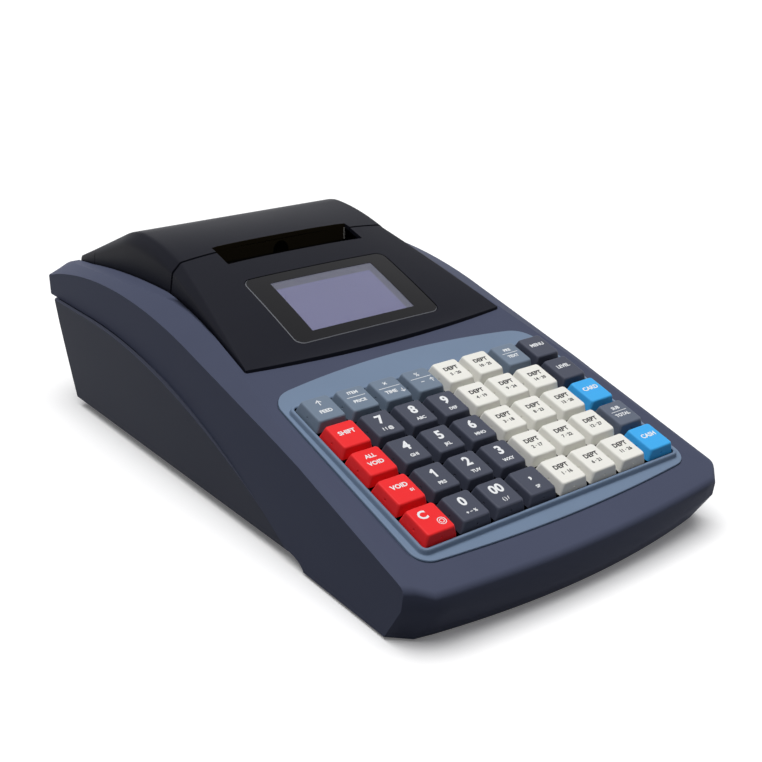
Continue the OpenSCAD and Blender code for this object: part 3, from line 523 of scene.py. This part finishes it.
def bezel_mesh():
    """The bead round the keys, the plate about it, and the floor under the keys in near-black painted shade.
    """
    bead = [(0, -4.5), (0, 2.8), (0.12, 3.2), (0.45, 3.45), (0.9, 3.5), (1.3, 3.4), (1.6, 3.1),
            (1.8, 2.6), (2.0, 1.7), (2.2, 1.2), (2.5, 1.0)]
    inner = [level(round_rect(FRAME_W + 2 * g, FRAME_L + 2 * g, 2 + g, 6), z) for g, z in bead]
    rim_points, rim_faces = stack(inner, (False, False))
    edge = [(-0.5, 1.0), (-0.2, 0.92), (0, 0.6), (0, -0.8)]
    outer = [level(bezel_plan(g), z) for g, z in edge]
    edge_points, edge_faces = stack(outer, (False, False))
    points = rim_points + edge_points
    start = len(rim_points)
    faces = rim_faces + [tuple(i + start for i in f) for f in edge_faces]
    inner_ids = [len(rim_points) - len(inner[0]) + i for i in range(len(inner[0]))]
    outer_ids = [start + i for i in range(len(outer[0]))]
    for tri in tessellate_polygon([[Vector(p) for p in outer[0]], [Vector(p) for p in inner[-1]]]):
        ids = outer_ids + inner_ids
        faces.append(tuple(ids[i] for i in tri))
    faces.append(tuple(range(len(inner[0]))))
    # Kind 1, the wall inside the bead and the floor under the keys, is near-black painted shade.
    kinds = [1] * len(inner[0]) + [0] * (len(faces) - len(inner[0]) - 1) + [1]
    return mesh_from(points, faces, "bezel", deck_frame, kinds)


finish_piece(bezel_mesh(), "key_bezel", "case", [bezel_blue, painted_gap_shade], ["keypad_bezel"])

# %% [markdown]
# ## The display cover and the paper lid
# Both are thin black shells with a crowned top and a bevel along each side. They are lofted: a profile
# across the body is worked out at many stations along it, and the points are joined into a closed form.
# A smaller form is then carved out of the larger one, which leaves a wall of even thickness.

# %% Loft helpers


def round_path(points, radius):
    """An open path whose inner corners are rounded, always with the same number of points."""
    out, steps = [points[0]], 3
    for before, corner, after in zip(points, points[1:], points[2:]):
        a, b, c = Vector(before), Vector(corner), Vector(after)
        reach = min(radius, (a - b).length * 0.45, (c - b).length * 0.45)
        start = b + (a - b).normalized() * reach if reach > 1e-6 else b
        end = b + (c - b).normalized() * reach if reach > 1e-6 else b
        for i in range(steps + 1):
            t = i / steps
            out.append(tuple(start * (1 - t) ** 2 + b * 2 * t * (1 - t) + end * t * t))
    return out + [points[-1]]


def profile(top, shoulder, bevel, side, foot, rise, radius=1.0):
    """Half a profile as (x, drop) points: crown, bevelled shoulder, and side that flares to its foot."""
    crown = [(x * top, -rise * (1 - x**3)) for x in np.linspace(0, 0.94, 10)]
    foot = max(foot, bevel + 1.5)
    return crown + round_path([(top * 0.96, -rise * (1 - 0.96**3)), (top, 0), (shoulder, bevel),
                               (side, foot), (side, foot + 3)], radius)


def loft(rows, foot):
    """A closed form from rows of half profiles: (half, place), where place gives the point of (x, drop)."""
    grids = []
    for half, place in rows:
        full = [(-x, d) for x, d in reversed(half[1:])] + half
        grids.append([place(x, d) for x, d in full])
    tops = [[(grid[0][0], grid[0][1], foot)] + grid + [(grid[-1][0], grid[-1][1], foot)] for grid in grids]
    bases = [[(x, y, foot) for x, y, z in row] for row in tops]
    points = [p for row in tops + bases for p in row]
    count, total = len(tops[0]), len(tops)
    faces = []
    for r in range(total - 1):
        for k in range(count - 1):
            a = r * count + k
            b = (r + total) * count + k
            faces.append((a, a + 1, a + count + 1, a + count))
            faces.append((b, b + count, b + count + 1, b + 1))
    for r in (0, total - 1):
        # The points of a side lie over one another, so they share one face of the end with their foot.
        a, b, row = r * count, (r + total) * count, tops[r]
        near = max(k for k in range(count // 2) if abs(row[k][0] - row[0][0]) < 1e-6) + 1
        far = count - 1 - near
        faces.append([a + k for k in range(near + 1)] + [b + near])
        faces.append([a + k for k in range(count - 1, far - 1, -1)] + [b + far])
        for k in range(near, far):
            faces.append((a + k, b + k, b + k + 1, a + k + 1))
    mesh = mesh_from(points, faces, "loft")
    bm = bmesh.new()
    bm.from_mesh(mesh)
    bmesh.ops.remove_doubles(bm, verts=bm.verts, dist=0.005 * MM)
    bmesh.ops.recalc_face_normals(bm, faces=bm.faces)
    return to_mesh(bm, "loft")


def rod(x0, x1, radius, y, z, sides=48, chamfer=0.0):
    def ring(x, r):
        return [(x, y + a, z + b) for a, b in arc(0, 0, r, 0, 360 - 360 / sides, sides - 1)]
    rings = [ring(x0, radius - chamfer), ring(x0 + chamfer, radius), ring(x1 - chamfer, radius),
             ring(x1, radius - chamfer)] if chamfer else [ring(x0, radius), ring(x1, radius)]
    return mesh_from(*stack(rings))


# %% The display cover
LEDGE = 67.9  # height of the ledge that the cover stands on
COVER_X, SIDE = 79.5, 72.0  # half the width over the sides, at the front and from the seam on
TOP_X, SHOULDER_X = 65, 70.2  # half the width of the flat top and over the shoulders, at the seam
BEVEL, CROWN = 4.8, 2.8  # drop of the shoulder and rise of the middle, at the seam
EDGE_BOW, TOP_BOW = 4.5, 3.2  # of the front edge, and four times the rise of the top over a straight line
JOINT = 0.35  # half of what the seam opens at its edges
SLOT_X = 43.5  # half the length of the paper slot
WINDOW_W, WINDOW_L, WINDOW_R = 90, 56, 5  # the window's outline and the radius of its corners
WINDOW_RUN, WINDOW_LIFT = 33.3, 2.55  # of its middle, from the cover's front edge and over its slope
PANE_X, PANE_Y = 32.2, 20.9  # half sizes of the clear field of the window
POCKET_X, POCKET_Y = 34, 22.5  # half sizes of the room for the panel in the window's back


def cover_rows(inset, first=0.0):
    """Rows from the front edge (v = 0) to the seam (v = 1), or from v = first for the hollow inside."""
    rows = []
    for v in [first + (1 - first) * i / 24 for i in range(25)]:
        y_row = COVER_Y + v * (SEAM_Y - JOINT - COVER_Y)
        top = COVER_X + (TOP_X - COVER_X) * v - inset * 0.6
        shoulder = COVER_X + (SHOULDER_X - COVER_X) * v - inset
        side = COVER_X + (SIDE - COVER_X) * v - inset
        foot = COVER_H + (SEAM_H - COVER_H) * v - case_z(y_row) + RAIL_FALL * v
        bow = -EDGE_BOW * (1 - v) ** 1.5

        def place(x, drop, y_row=y_row, bow=bow):
            y = y_row + bow * (1 - min(1, abs(x) / 78) ** 2) + (inset if y_row < COVER_Y + 1 else 0)
            t = (y - COVER_Y) / (SEAM_Y - COVER_Y)
            rise = (SEAM_H - COVER_H) * (t if t > 0 else 0.5 * t) + TOP_BOW * max(0, t) * (1 - max(0, t))
            return (x, y, COVER_H + rise - inset - drop)

        crown = CROWN * (1 - (1 - v) ** 2.3)
        rows.append((profile(top, shoulder, max(0.4, BEVEL * v), side, foot, crown), place))
    return rows


window_z = COVER_H + WINDOW_RUN * math.tan(COVER_TILT) + WINDOW_LIFT
cover_frame = (Matrix.Translation((0, COVER_Y + WINDOW_RUN, window_z))
               @ Matrix.Rotation(COVER_TILT, 4, "X"))


def hood_z(x, y):
    """How far the crowned hood lies over the plane that cover_frame places, at a point of the window."""
    return -0.14 + 0.0389 * y - 0.00066 * y * y - (0.42 + 0.008 * y) * abs(x / 44) ** 3


def drape(mesh):
    """Bend a flat mesh so that it follows the hood, and place it there."""
    bm = bmesh.new()
    bm.from_mesh(mesh)
    for axis, places in ((0, range(-36, 37, 12)), (1, range(-24, 25, 8))):
        for at in places:
            point, normal = Vector(), Vector()
            point[axis], normal[axis] = at * MM, 1
            bmesh.ops.bisect_plane(bm, geom=bm.verts[:] + bm.edges[:] + bm.faces[:],
                                   plane_co=point, plane_no=normal)
    for v in bm.verts:
        if v.co.z < 5 * MM:
            v.co.z += hood_z(v.co.x / MM, v.co.y / MM) * MM
    bm.transform(Matrix.Scale(MM, 4) @ cover_frame @ Matrix.Scale(1 / MM, 4))
    return to_mesh(bm, mesh.name)


hole_plan = round_rect(WINDOW_W + 0.8, WINDOW_L + 0.8, WINDOW_R + 0.4, 6)
window_hole = drape(mesh_from(*stack([level(hole_plan, z) for z in (-1.0, 20)])))
lcd_hole = box_mesh((-PANE_X, -PANE_Y, -20), (PANE_X, PANE_Y, 10), cover_frame)
slot_hole = box_mesh((-SLOT_X, SEAM_Y - 12, 78), (SLOT_X, SEAM_Y + 6, 140))
seam_hole = box_mesh((-69, SEAM_Y - 2, LEDGE - 1), (69, SEAM_Y + 8, 98.5))
cover_mesh = cut(loft(cover_rows(FIT), LEDGE), loft(cover_rows(FIT + WALL, 0.06), LEDGE - 1), seam_hole,
                 window_hole, lcd_hole, slot_hole)
finish_piece(cover_mesh, "display_hood", "case", [cover_black], ["display_cover"], 24)

# %% The paper lid
LID_Y, RIDGE_RUN, RIDGE_H = SEAM_Y + FIT, 41.6, 113.4
RIDGE_Y = LID_Y + RIDGE_RUN
TAIL_Y = HINGE_Y + BARREL_R * math.sin(math.radians(22))
LID_FOOT = 68.7
PLATEN_Y, PLATEN_Z = SEAM_Y + 15.3, 92.0
ROLL_Y, ROLL_Z = SEAM_Y + 55.3, 62.3


def lid_top(y):
    """Height of the lid: a curve up to the ridge, then a long fall to the hinge barrel."""
    if y < RIDGE_Y:
        u = (y - LID_Y) / RIDGE_RUN
        return SEAM_H + (RIDGE_H - SEAM_H) * (1.72 * u - 0.72 * u * u)
    v = (y - RIDGE_Y) / (HINGE_Y + 2 - RIDGE_Y)
    fall = 2 * v * v if v < 0.25 else v - 0.125
    return RIDGE_H - (RIDGE_H - HINGE_Z - BARREL_R * 0.93) * fall / 0.875 + 0.35 * v**3


def lid_rows(inset, last=TAIL_Y):
    """Rows from the seam to last. The hollow inside starts before the seam, so that it opens the front."""
    rows = []
    start = LID_Y + JOINT - (1 if inset else 0)
    for i in range(49):
        y_row = start + (last - start) * i / 48
        # Behind the ridge the flat top gets wider, and the bevel beside it smaller.
        t = max(0, (y_row - RIDGE_Y) / (REAR_Y - RIDGE_Y))
        top = TOP_X + t * 6.5 - inset * 0.6
        ahead = max(0, (RIDGE_Y - y_row) / RIDGE_RUN)
        z_row = lid_top(y_row) - inset
        shoulder = SHOULDER_X + 0.6 * (1 - ahead) + t - inset
        bevel = BEVEL - 3.2 * t
        foot = lid_top(y_row) - case_z(y_row) + RAIL_FALL
        radius = 1.0 + 3.5 * (1 - ahead)

        def place(x, drop, y_row=y_row, z_row=z_row):
            return (x, y_row, z_row - drop)

        rows.append((profile(top, shoulder, bevel, SIDE - inset, foot, CROWN * ahead, radius), place))
    return rows


def mirrored(near, far):
    """The span from near to far on the left and on the right of the middle."""
    return [(-far, -near), (near, far)]


INNER_REAR = HINGE_Y - BARREL_R
lid_body = cut(loft(lid_rows(0), LID_FOOT), loft(lid_rows(WALL, INNER_REAR), LID_FOOT - 1),
               box_mesh((-70, LID_Y - 1, 67), (70, LID_Y + 5, 98.5)),
               box_mesh((-70, LID_Y, 67.5), (70, INNER_REAR - 1, LID_FOOT + 2)))
brackets = [m for x0, x1 in mirrored(41.2, 43.6) for m in (
    box_mesh((x0, PLATEN_Y - 4, PLATEN_Z), (x1, PLATEN_Y + 4, 108)), rod(x0, x1, 4, PLATEN_Y, PLATEN_Z))]
lid_body = cut(lid_body, rod(-69, 69, BARREL_R, HINGE_Y, HINGE_Z, 96, 0.3), *brackets, mode="UNION")

# Holes for the hinge pin and the platen's shaft, half of the paper slot, and a groove in each side
BACK_Y, SLOT_Z = LID_Y + 5, 100
GROOVE_Y, GROOVE_W = 154.8, 0.5
lid_body = cut(lid_body, rod(-80, 80, 2.1, HINGE_Y, HINGE_Z), rod(-60, 60, 2.05, PLATEN_Y, PLATEN_Z),
               box_mesh((-SLOT_X, LID_Y - 5, SLOT_Z), (SLOT_X, BACK_Y, 140)),
               *[box_mesh((x0, GROOVE_Y, 66), (x1, GROOVE_Y + GROOVE_W, 104))
                 for x0, x1 in mirrored(71.2, 73)])

# The slot is lined, with a round-topped near-black mark in the middle, painted shade of a recess, and a thin
# light strip at its right end, a painted highlight on that edge.
for face in lid_body.polygons:
    if abs(face.center.y - BACK_Y * MM) < 0.1 * MM and abs(face.center.x) < 44 * MM:
        face.material_index = 1
bump = [[(5 * x, y, SLOT_Z + 0.4 + 6 * z) for x, z in arc(0, 0, 1, 0, 180, 12)]
        for y in (BACK_Y - 0.1, BACK_Y)]
lid_body = join_meshes(lid_body, [
    (box_mesh((-43.9, BACK_Y + 0.02, SLOT_Z + 0.1), (43.9, BACK_Y + 0.4, 107.2)), 1),
    (mesh_from(*stack(bump)), 2),
    # The thin light strip at the slot's right end is a painted highlight on that edge.
    (box_mesh((42.6, BACK_Y - 0.5, SLOT_Z + 0.3), (43.3, BACK_Y - 0.1, 106.9)), 3)])
finish_piece(lid_body, "lid_shell", "lid", [cover_black, slot_brown, slot_shade, slot_end_highlight],
             ["paper_lid"], 24)
print("cover faces:", len(cover_mesh.polygons), "lid faces:", len(lid_body.polygons))

# %% [markdown]
# ## The window and the display
# The window is a clear plate with a black border printed on its back, so its middle is clear and its
# border is deep gloss black. It lies flush in the crowned hood, so it is made flat and then bent to the
# hood's form. The liquid crystal panel lies just under it, with a grey margin beside its lilac field.

# %% Window and panel


def window_mesh():
    """The plate: its border, the clear field, and the room for the panel in its back."""
    face_z, roof_z, back_z = 0.05, -0.2, -0.9  # heights of the front, of the room's roof and of the back
    outline = [(0, 0, back_z), (0, 0, -0.3), (0.7, 0.3, face_z)]
    rings = [level(round_rect(WINDOW_W - less, WINDOW_L - less, WINDOW_R - tighter, 6), z)
             for less, tighter, z in outline]
    points, faces = stack(rings, (False, False))
    # The bevelled ring at the front takes the third finish, a light grey painted reflection.
    kinds = [0] * len(rings[0]) + [2] * len(rings[0])

    def pane(half_w, half_l, z):
        return [(-half_w, -half_l, z), (half_w, -half_l, z), (half_w, half_l, z), (-half_w, half_l, z)]

    def plate(border, hole, kind):
        start = len(points)
        points.extend(list(border) + hole)
        for tri in tessellate_polygon([[Vector(p) for p in border], [Vector(p) for p in hole]]):
            faces.append(tuple(start + i for i in tri))
            kinds.append(kind)
        return [start + len(border) + i for i in range(4)]

    top = plate(rings[-1], pane(PANE_X, PANE_Y, face_z), 0)
    base = plate(rings[0], pane(POCKET_X, POCKET_Y, back_z), 0)
    roof = plate(pane(POCKET_X, POCKET_Y, roof_z), pane(PANE_X, PANE_Y, roof_z), 0)
    start = roof[0] - 4
    faces.extend([tuple(top), tuple(roof)])
    kinds.extend([1, 1])
    for i in range(4):
        faces.append((base[i], base[(i + 1) % 4], start + (i + 1) % 4, start + i))
        kinds.append(0)
    mesh = mesh_from(points, faces, "window", None, kinds)
    bm = bmesh.new()
    bm.from_mesh(mesh)
    bmesh.ops.remove_doubles(bm, verts=bm.verts, dist=0.002 * MM)
    return drape(to_mesh(bm, "window"))


finish_piece(window_mesh(), "window_plate", "case", [window_black, clear, rim_reflection_paint],
             ["display_window"], 30)


def panel_mesh():
    """A thin plate in four fields: the lilac one, and the margin at its right and at its top."""
    xs, ys = [-33.4, 27.6, 33.4], [-21.9, 15.0, 21.9]
    points, faces, kinds = [], [], []
    for z in (-0.3, -0.24):
        points += [(x, y, z) for y in ys for x in xs]
    for j in range(2):
        for i in range(2):
            a = 9 + j * 3 + i
            faces.append((a, a + 1, a + 4, a + 3))
            kinds.append(0 if (i, j) == (0, 0) else 1)
    ring = [0, 1, 2, 5, 8, 7, 6, 3]
    for a, b in zip(ring, ring[1:] + ring[:1]):
        faces.append((a, b, b + 9, a + 9))
        kinds.append(1)
    faces.append(tuple(reversed(ring)))
    kinds.append(1)
    return drape(mesh_from(points, faces, "panel", None, kinds))


finish_piece(panel_mesh(), "crystal_panel", "case", [lcd_active, lcd_border])

# %% [markdown]
# ## Inside the case
# These parts show only with the lid up or from below, and their solids are right as they are. Each gets
# the finish of its real material: glass-filled plastic, ground rubber, steel, paper and circuit board.

# %% Finishes of the inner parts


def metal(name, colour, rough=0.3):
    finish = Finish(name)
    streak = finish.noise(1.5, 3)
    finish.set(Base_Color=colour, Metallic=1.0, Roughness=rough - 0.05 + 0.1 * streak)
    return finish.bump(streak, 0.004).material


def paper_roll_finish():
    """White paper whose ends show fine rings round the roll's axis."""
    finish = Finish("thermal_paper")
    y = finish.add("ShaderNodeSeparateXYZ", {}, {0: finish.place()}, 1)
    z = Wire(finish, y.socket.node.outputs[2])
    dy, dz = y - ROLL_Y * MM, z - ROLL_Z * MM
    radius = (dy * dy + dz * dz).math("SQRT")
    shade = (radius * 4200).math("SINE") * 0.5 + 0.5
    finish.set(Base_Color=finish.mix(shade, (0.80, 0.79, 0.75, 1), (0.93, 0.92, 0.89, 1)), Roughness=0.85)
    return finish.bump(shade, 0.02).material


inner_finishes = {
    "key_dome_mat": plastic("silicone", rgb(120, 122, 126), rough=0.7, depth=0.01),
    "key_board": plastic("solder_resist", rgb(38, 96, 62), rough=0.3, grain=1.2, depth=0.01, level=0.5),
    "main_board": plastic("board_green", rgb(36, 92, 60), rough=0.3, grain=1.2, depth=0.01, level=0.5),
    "display_module": plastic("panel_frame", rgb(70, 72, 78), rough=0.4, level=0.4),
    "lid_hinge_pin": metal("ground_steel", rgb(190, 192, 196)),
    "printer_frame": plastic("glass_filled", rgb(22, 21, 21), rough=0.6, grain=0.8, depth=0.03),
    "print_head": plastic("black_anodised", rgb(26, 24, 22), rough=0.5, grain=0.8, depth=0.01),
    "platen_roller": plastic("ground_rubber", rgb(34, 34, 36), rough=0.75, grain=0.25, depth=0.02),
    "motor_pinion": plastic("acetal", rgb(214, 210, 198), rough=0.4, depth=0.005),
    "feed_motor": metal("drawn_steel", rgb(168, 170, 174), 0.35),
    "paper_roll": paper_roll_finish(),
    "rear_sockets": plastic("socket_black", rgb(28, 28, 30), rough=0.4, depth=0.005),
    "rubber_feet": plastic("soft_rubber", rgb(26, 26, 27), rough=0.85, grain=0.6, depth=0.05),
    "case_screws": metal("zinc", rgb(150, 152, 158), 0.4)}
for node, material in inner_finishes.items():
    mesh = frame["nodes"][node].data
    mesh.materials.clear()
    mesh.materials.append(material)
print("inner parts:", len(inner_finishes))

# %% [markdown]
# ## The keys
# All forty caps come from one mould, so one mesh is made: rings from the wide skirt to the rounded top,
# with two small clip holes cut in the skirt. A plunger under the cap carries it, near-black as painted shade,
# so the gaps between the keys look deep. Each key then gets its colour and its printed legend, a thin raised
# layer that travels with the cap.

# %% One key cap
CAP_H, PRINT_H = 8.1, 8.14  # height of a cap's top, and of the print on it, over the deck


def cap_mesh():
    skirt, top, low, high, roll = (17.2, 18.2), (14.4, 16.1), 2.3, CAP_H, 1.0
    rings = []
    for i in range(4):
        t = i / 3 * (high - roll - low) / (high - low)
        size = [a + (b - a) * t for a, b in zip(skirt, top)]
        rings.append(level(round_rect(*size, 0.9 + 0.6 * t, 4), low + t * (high - low)))
    for turn in range(18, 91, 18):
        a = math.radians(turn)
        back = roll * (1 - math.cos(a))
        size = [b + 0.3 - 2 * back * 0.9 for b in top]
        rings.append(level(round_rect(*size, max(0.5, 1.5 - back * 0.5), 4),
                           high - roll + roll * math.sin(a)))
    cap = mesh_from(*stack(rings))
    pits = [box_mesh((-9.5, -0.5, 4.4), (-7.5, 0.5, 5.2)), box_mesh((-0.5, -10, 4.4), (0.5, -8.4, 5.2))]
    # The plunger and the stem take the third finish, near-black painted shade between the keys.
    plunger = mesh_from(*stack([level(round_rect(15.8, 16.8, 0.8, 4), z) for z in (-1.0, low - 0.01)]))
    stem = box_mesh((-3, -3, -8.2), (3, 3, -0.9))
    return join_meshes(cut(cap, *pits), [(plunger, 2), (stem, 2)])


key_cap = cap_mesh()
print("faces on a cap:", len(key_cap.polygons))

# %% Legends


def legend_mesh(text, size, x, y):
    curve = bpy.data.curves.new("legend", "FONT")
    curve.body, curve.size = text, size * MM
    curve.align_x, curve.align_y = "CENTER", "CENTER"
    bold = 0.01 if text in "↑↓×−%" else 0.035
    curve.offset = bold * size * MM
    curve.extrude = (PRINT_H - CAP_H) / 2 * MM
    curve.resolution_u = 3
    holder = bpy.data.objects.new("legend", curve)
    bpy.context.scene.collection.objects.link(holder)
    bpy.context.view_layer.update()
    mesh = bpy.data.meshes.new_from_object(holder.evaluated_get(bpy.context.evaluated_depsgraph_get()))
    bpy.data.objects.remove(holder)
    mesh.transform(Matrix.Translation((x * MM, y * MM, (CAP_H + PRINT_H) / 2 * MM)))
    return mesh


def bar_mesh(x, y, width, height):
    return box_mesh((x - width / 2, y - height / 2, CAP_H), (x + width / 2, y + height / 2, PRINT_H))


def numeral_one(x, y):
    """The numeral one, with a flag so that it can't be read as a letter."""
    form = [(-1.6, 1.0), (-0.9, 0.2), (-0.25, 0.75), (-0.25, -2.6), (0.85, -2.6), (0.85, 2.6), (0.0, 2.6)]
    return mesh_from(*stack([[(x + a, y + b, z) for a, b in form] for z in (CAP_H, PRINT_H)]))


# Each legend is (text, size, x, y) on the cap, and a LINE is a bar whose length is its size.
LINE = "line"
legends = {
    (1, 1): [("↑", 5, 0, 3.4), ("FEED", 3, 0, -2.6)],
    (1, 2): [("ITEM", 2.7, 0, 4.2), (LINE, 10, 0, 1.2), ("PRICE", 2.7, 0, -2.2)],
    (1, 3): [("×", 4.6, -0.5, 3.9), (LINE, 12, 0, 1), ("TIME", 3, -1.2, -2.4), ("↓", 4, 5, -3.4)],
    (1, 4): [("%", 3.6, -0.5, 4), (LINE, 12, 0, 1.2), ("−", 4, -1, -2), ("↑", 4, 4.6, -2)],
    (1, 7): [("PRE", 2.8, 0, 3.2), (LINE, 10, 0, 0.8), ("TEXT", 2.8, 0, -2)],
    (1, 8): [("MENU", 3.2, 0, 1)], (2, 8): [("LEVEL", 3.2, 0, 1)], (3, 8): [("CARD", 3.6, 0, 1)],
    (4, 8): [("SUB", 2.8, 0, 3.4), (LINE, 10, 0, 1), ("TOTAL", 2.8, 0, -1.8)],
    (5, 8): [("CASH", 3.6, 0, 1)],
    (2, 1): [("SHIFT", 3.5, 0, 1)], (3, 1): [("ALL", 3.3, 0, 3), ("VOID", 3.3, 0, -1.6)],
    (4, 1): [("VOID", 3.5, 0, 1.6), ("01", 2.2, 4, -2.4)], (5, 1): [("C", 6.4, -2, 2.6)],
    (5, 2): [("0", 7, 0, 2.2), ("+ − %", 2.4, 0, -4.2)], (5, 3): [("00", 7, 0, 2.2), ("( ) /", 2.4, 0, -4.2)],
    (5, 4): [(",", 7, 0, 3.4), ("SP", 2.4, 0, -4.2)]}
letters = {7: "? ! @", 8: "ABC", 9: "DEF", 4: "GHI", 5: "JKL", 6: "MNO", 1: "PRS", 2: "TUV", 3: "WXY"}
for row, first in ((2, 7), (3, 4), (4, 1)):
    for column in range(3):
        digit = first + column
        legends[(row, column + 2)] = [(str(digit), 7.4, 0, 2.2), (letters[digit], 2.6, 0, -4.2)]
department = {(r, 5): 6 - r for r in range(1, 6)}
department.update({(r, 6): 11 - r for r in range(1, 6)})
department.update({(r, 7): 16 - r for r in range(2, 6)})
for place, number in department.items():
    legends[place] = [("DEPT", 3.6, 0, 1.8), (f"{number} · {number + 15}", 2.7, 0, -2.4)]

# %% The forty keys


def key_slot(row, column):
    if column == 1:
        return "key_steel" if row == 1 else "key_red"
    if column < 5:
        return "key_steel" if row == 1 else "key_dark"
    if column < 8:
        return "key_steel" if (row, column) == (1, 7) else "key_ivory"
    return {1: "key_dark", 2: "key_dark", 3: "key_sky", 4: "key_grey", 5: "key_sky"}[row]


def ring_icon(x, y):
    meshes = []
    for radius in (2.1, 1.2):
        outer, inner = arc(x, y, radius, 0, 345, 23), arc(x, y, radius - 0.35, 0, 345, 23)
        meshes.append(mesh_from(*stack([level(inner, CAP_H), level(outer, CAP_H), level(outer, PRINT_H),
                                        level(inner, PRINT_H), level(inner, CAP_H)], (False, False))))
    return meshes


for row in range(1, 6):
    for column in range(1, 9):
        slot = key_slot(row, column)
        parts = [bar_mesh(x, y, size, 0.3) if text == LINE else numeral_one(x, y) if text == "1"
                 else legend_mesh(text, size, x, y) for text, size, x, y in legends[(row, column)]]
        if (row, column) == (5, 1):
            parts += ring_icon(3.6, -3.2)
        bm = bmesh.new()
        bm.from_mesh(join_meshes(key_cap, [(part, 1) for part in parts]))
        name = f"key_r{row}_c{column}"
        bm.transform(Matrix.Scale(MM, 4) @ deck_frame
                     @ Matrix.Translation(((column - 4.5) * PITCH_X, (3 - row) * PITCH_Y, 0))
                     @ Matrix.Scale(1 / MM, 4))
        mesh = to_mesh(bm, name)
        ink = black_print if slot == "key_ivory" else white_print
        finish_piece(mesh, "cap_" + name[4:], name, [key_finishes[slot], ink, painted_gap_shade], [name], 40)

# %% [markdown]
# ## The stage
# The register stands on a white floor under one broad overhead light. The floor looks white to the
# camera and in reflections, helped by a faint glow of its own, but throws little light back, so that
# the walls stay as dark as they are under an overhead softbox.

# %% Floor, world and lamps


def sees_white(finish):
    """1 for what the camera, a reflection or a clear plate shows, and 0 for light that falls on things."""
    camera_ray, glossy, through = [finish.add("ShaderNodeLightPath", {}, {}, f"Is {kind} Ray")
                                   for kind in ("Camera", "Glossy", "Transmission")]
    return (camera_ray + glossy + through).math("MINIMUM", 1.0)


floor_finish = Finish("floor_paper")
seen = sees_white(floor_finish)
floor_finish.set(Base_Color=floor_finish.mix(seen, (0.1, 0.1, 0.102, 1), (1, 1, 1, 1)), Roughness=0.9,
                 Emission_Color=floor_finish.mix(seen, (0, 0, 0, 1), (0.12, 0.12, 0.122, 1)),
                 Emission_Strength=1.0, Specular_IOR_Level=0.0)
FLOOR = 9000
floor_mesh = mesh_from([(x * FLOOR, y * FLOOR, 0) for x, y in ((-1, -1), (1, -1), (1, 1), (-1, 1))],
                       [(0, 1, 2, 3)])
floor = bpy.data.objects.new("floor", floor_mesh)
bpy.context.scene.collection.objects.link(floor)
floor_mesh.materials.append(floor_finish.material)

bpy.context.scene.world = bpy.data.worlds.new("studio")
sky = Finish(world=bpy.context.scene.world)
sky.set(Color=sky.mix(sees_white(sky), (0.1, 0.1, 0.105, 1), (1, 1, 1, 1)))


def sun(name, strength, spread, aim):
    lamp = bpy.data.lights.new(name, "SUN")
    lamp.energy, lamp.angle = strength, math.radians(spread)
    obj = bpy.data.objects.new(name, lamp)
    bpy.context.scene.collection.objects.link(obj)
    obj.rotation_euler = Vector(aim).to_track_quat("-Z", "Y").to_euler()


sun("softbox", 2.9, 54, (0.12, 0.06, -1))

# %% [markdown]
# ## The camera
# The view is from the front left, a little above, with a moderately long lens.

# %% Camera
azimuth, elevation, distance = math.radians(-36.71), math.radians(21.59), 0.6365
target = Vector((0.01686, -0.00536, 0.040))
PICTURE_W, FOCAL, SENSOR_W = 762, 1178, 36  # width and focal length in pixels, and the sensor in mm
away = Vector((math.sin(azimuth) * math.cos(elevation), -math.cos(azimuth) * math.cos(elevation),
               math.sin(elevation)))
lens = bpy.data.cameras.new("view")
lens.sensor_width, lens.lens = SENSOR_W, FOCAL * SENSOR_W / PICTURE_W
camera = bpy.data.objects.new("view", lens)
bpy.context.scene.collection.objects.link(camera)
camera.matrix_world = (Matrix.Translation(target + away * distance)
                       @ (-away).to_track_quat("-Z", "Y").to_matrix().to_4x4()
                       @ Matrix.Rotation(math.radians(-0.4), 4, "Z"))
bpy.context.scene.camera = camera
bpy.context.scene.view_settings.view_transform = "Standard"
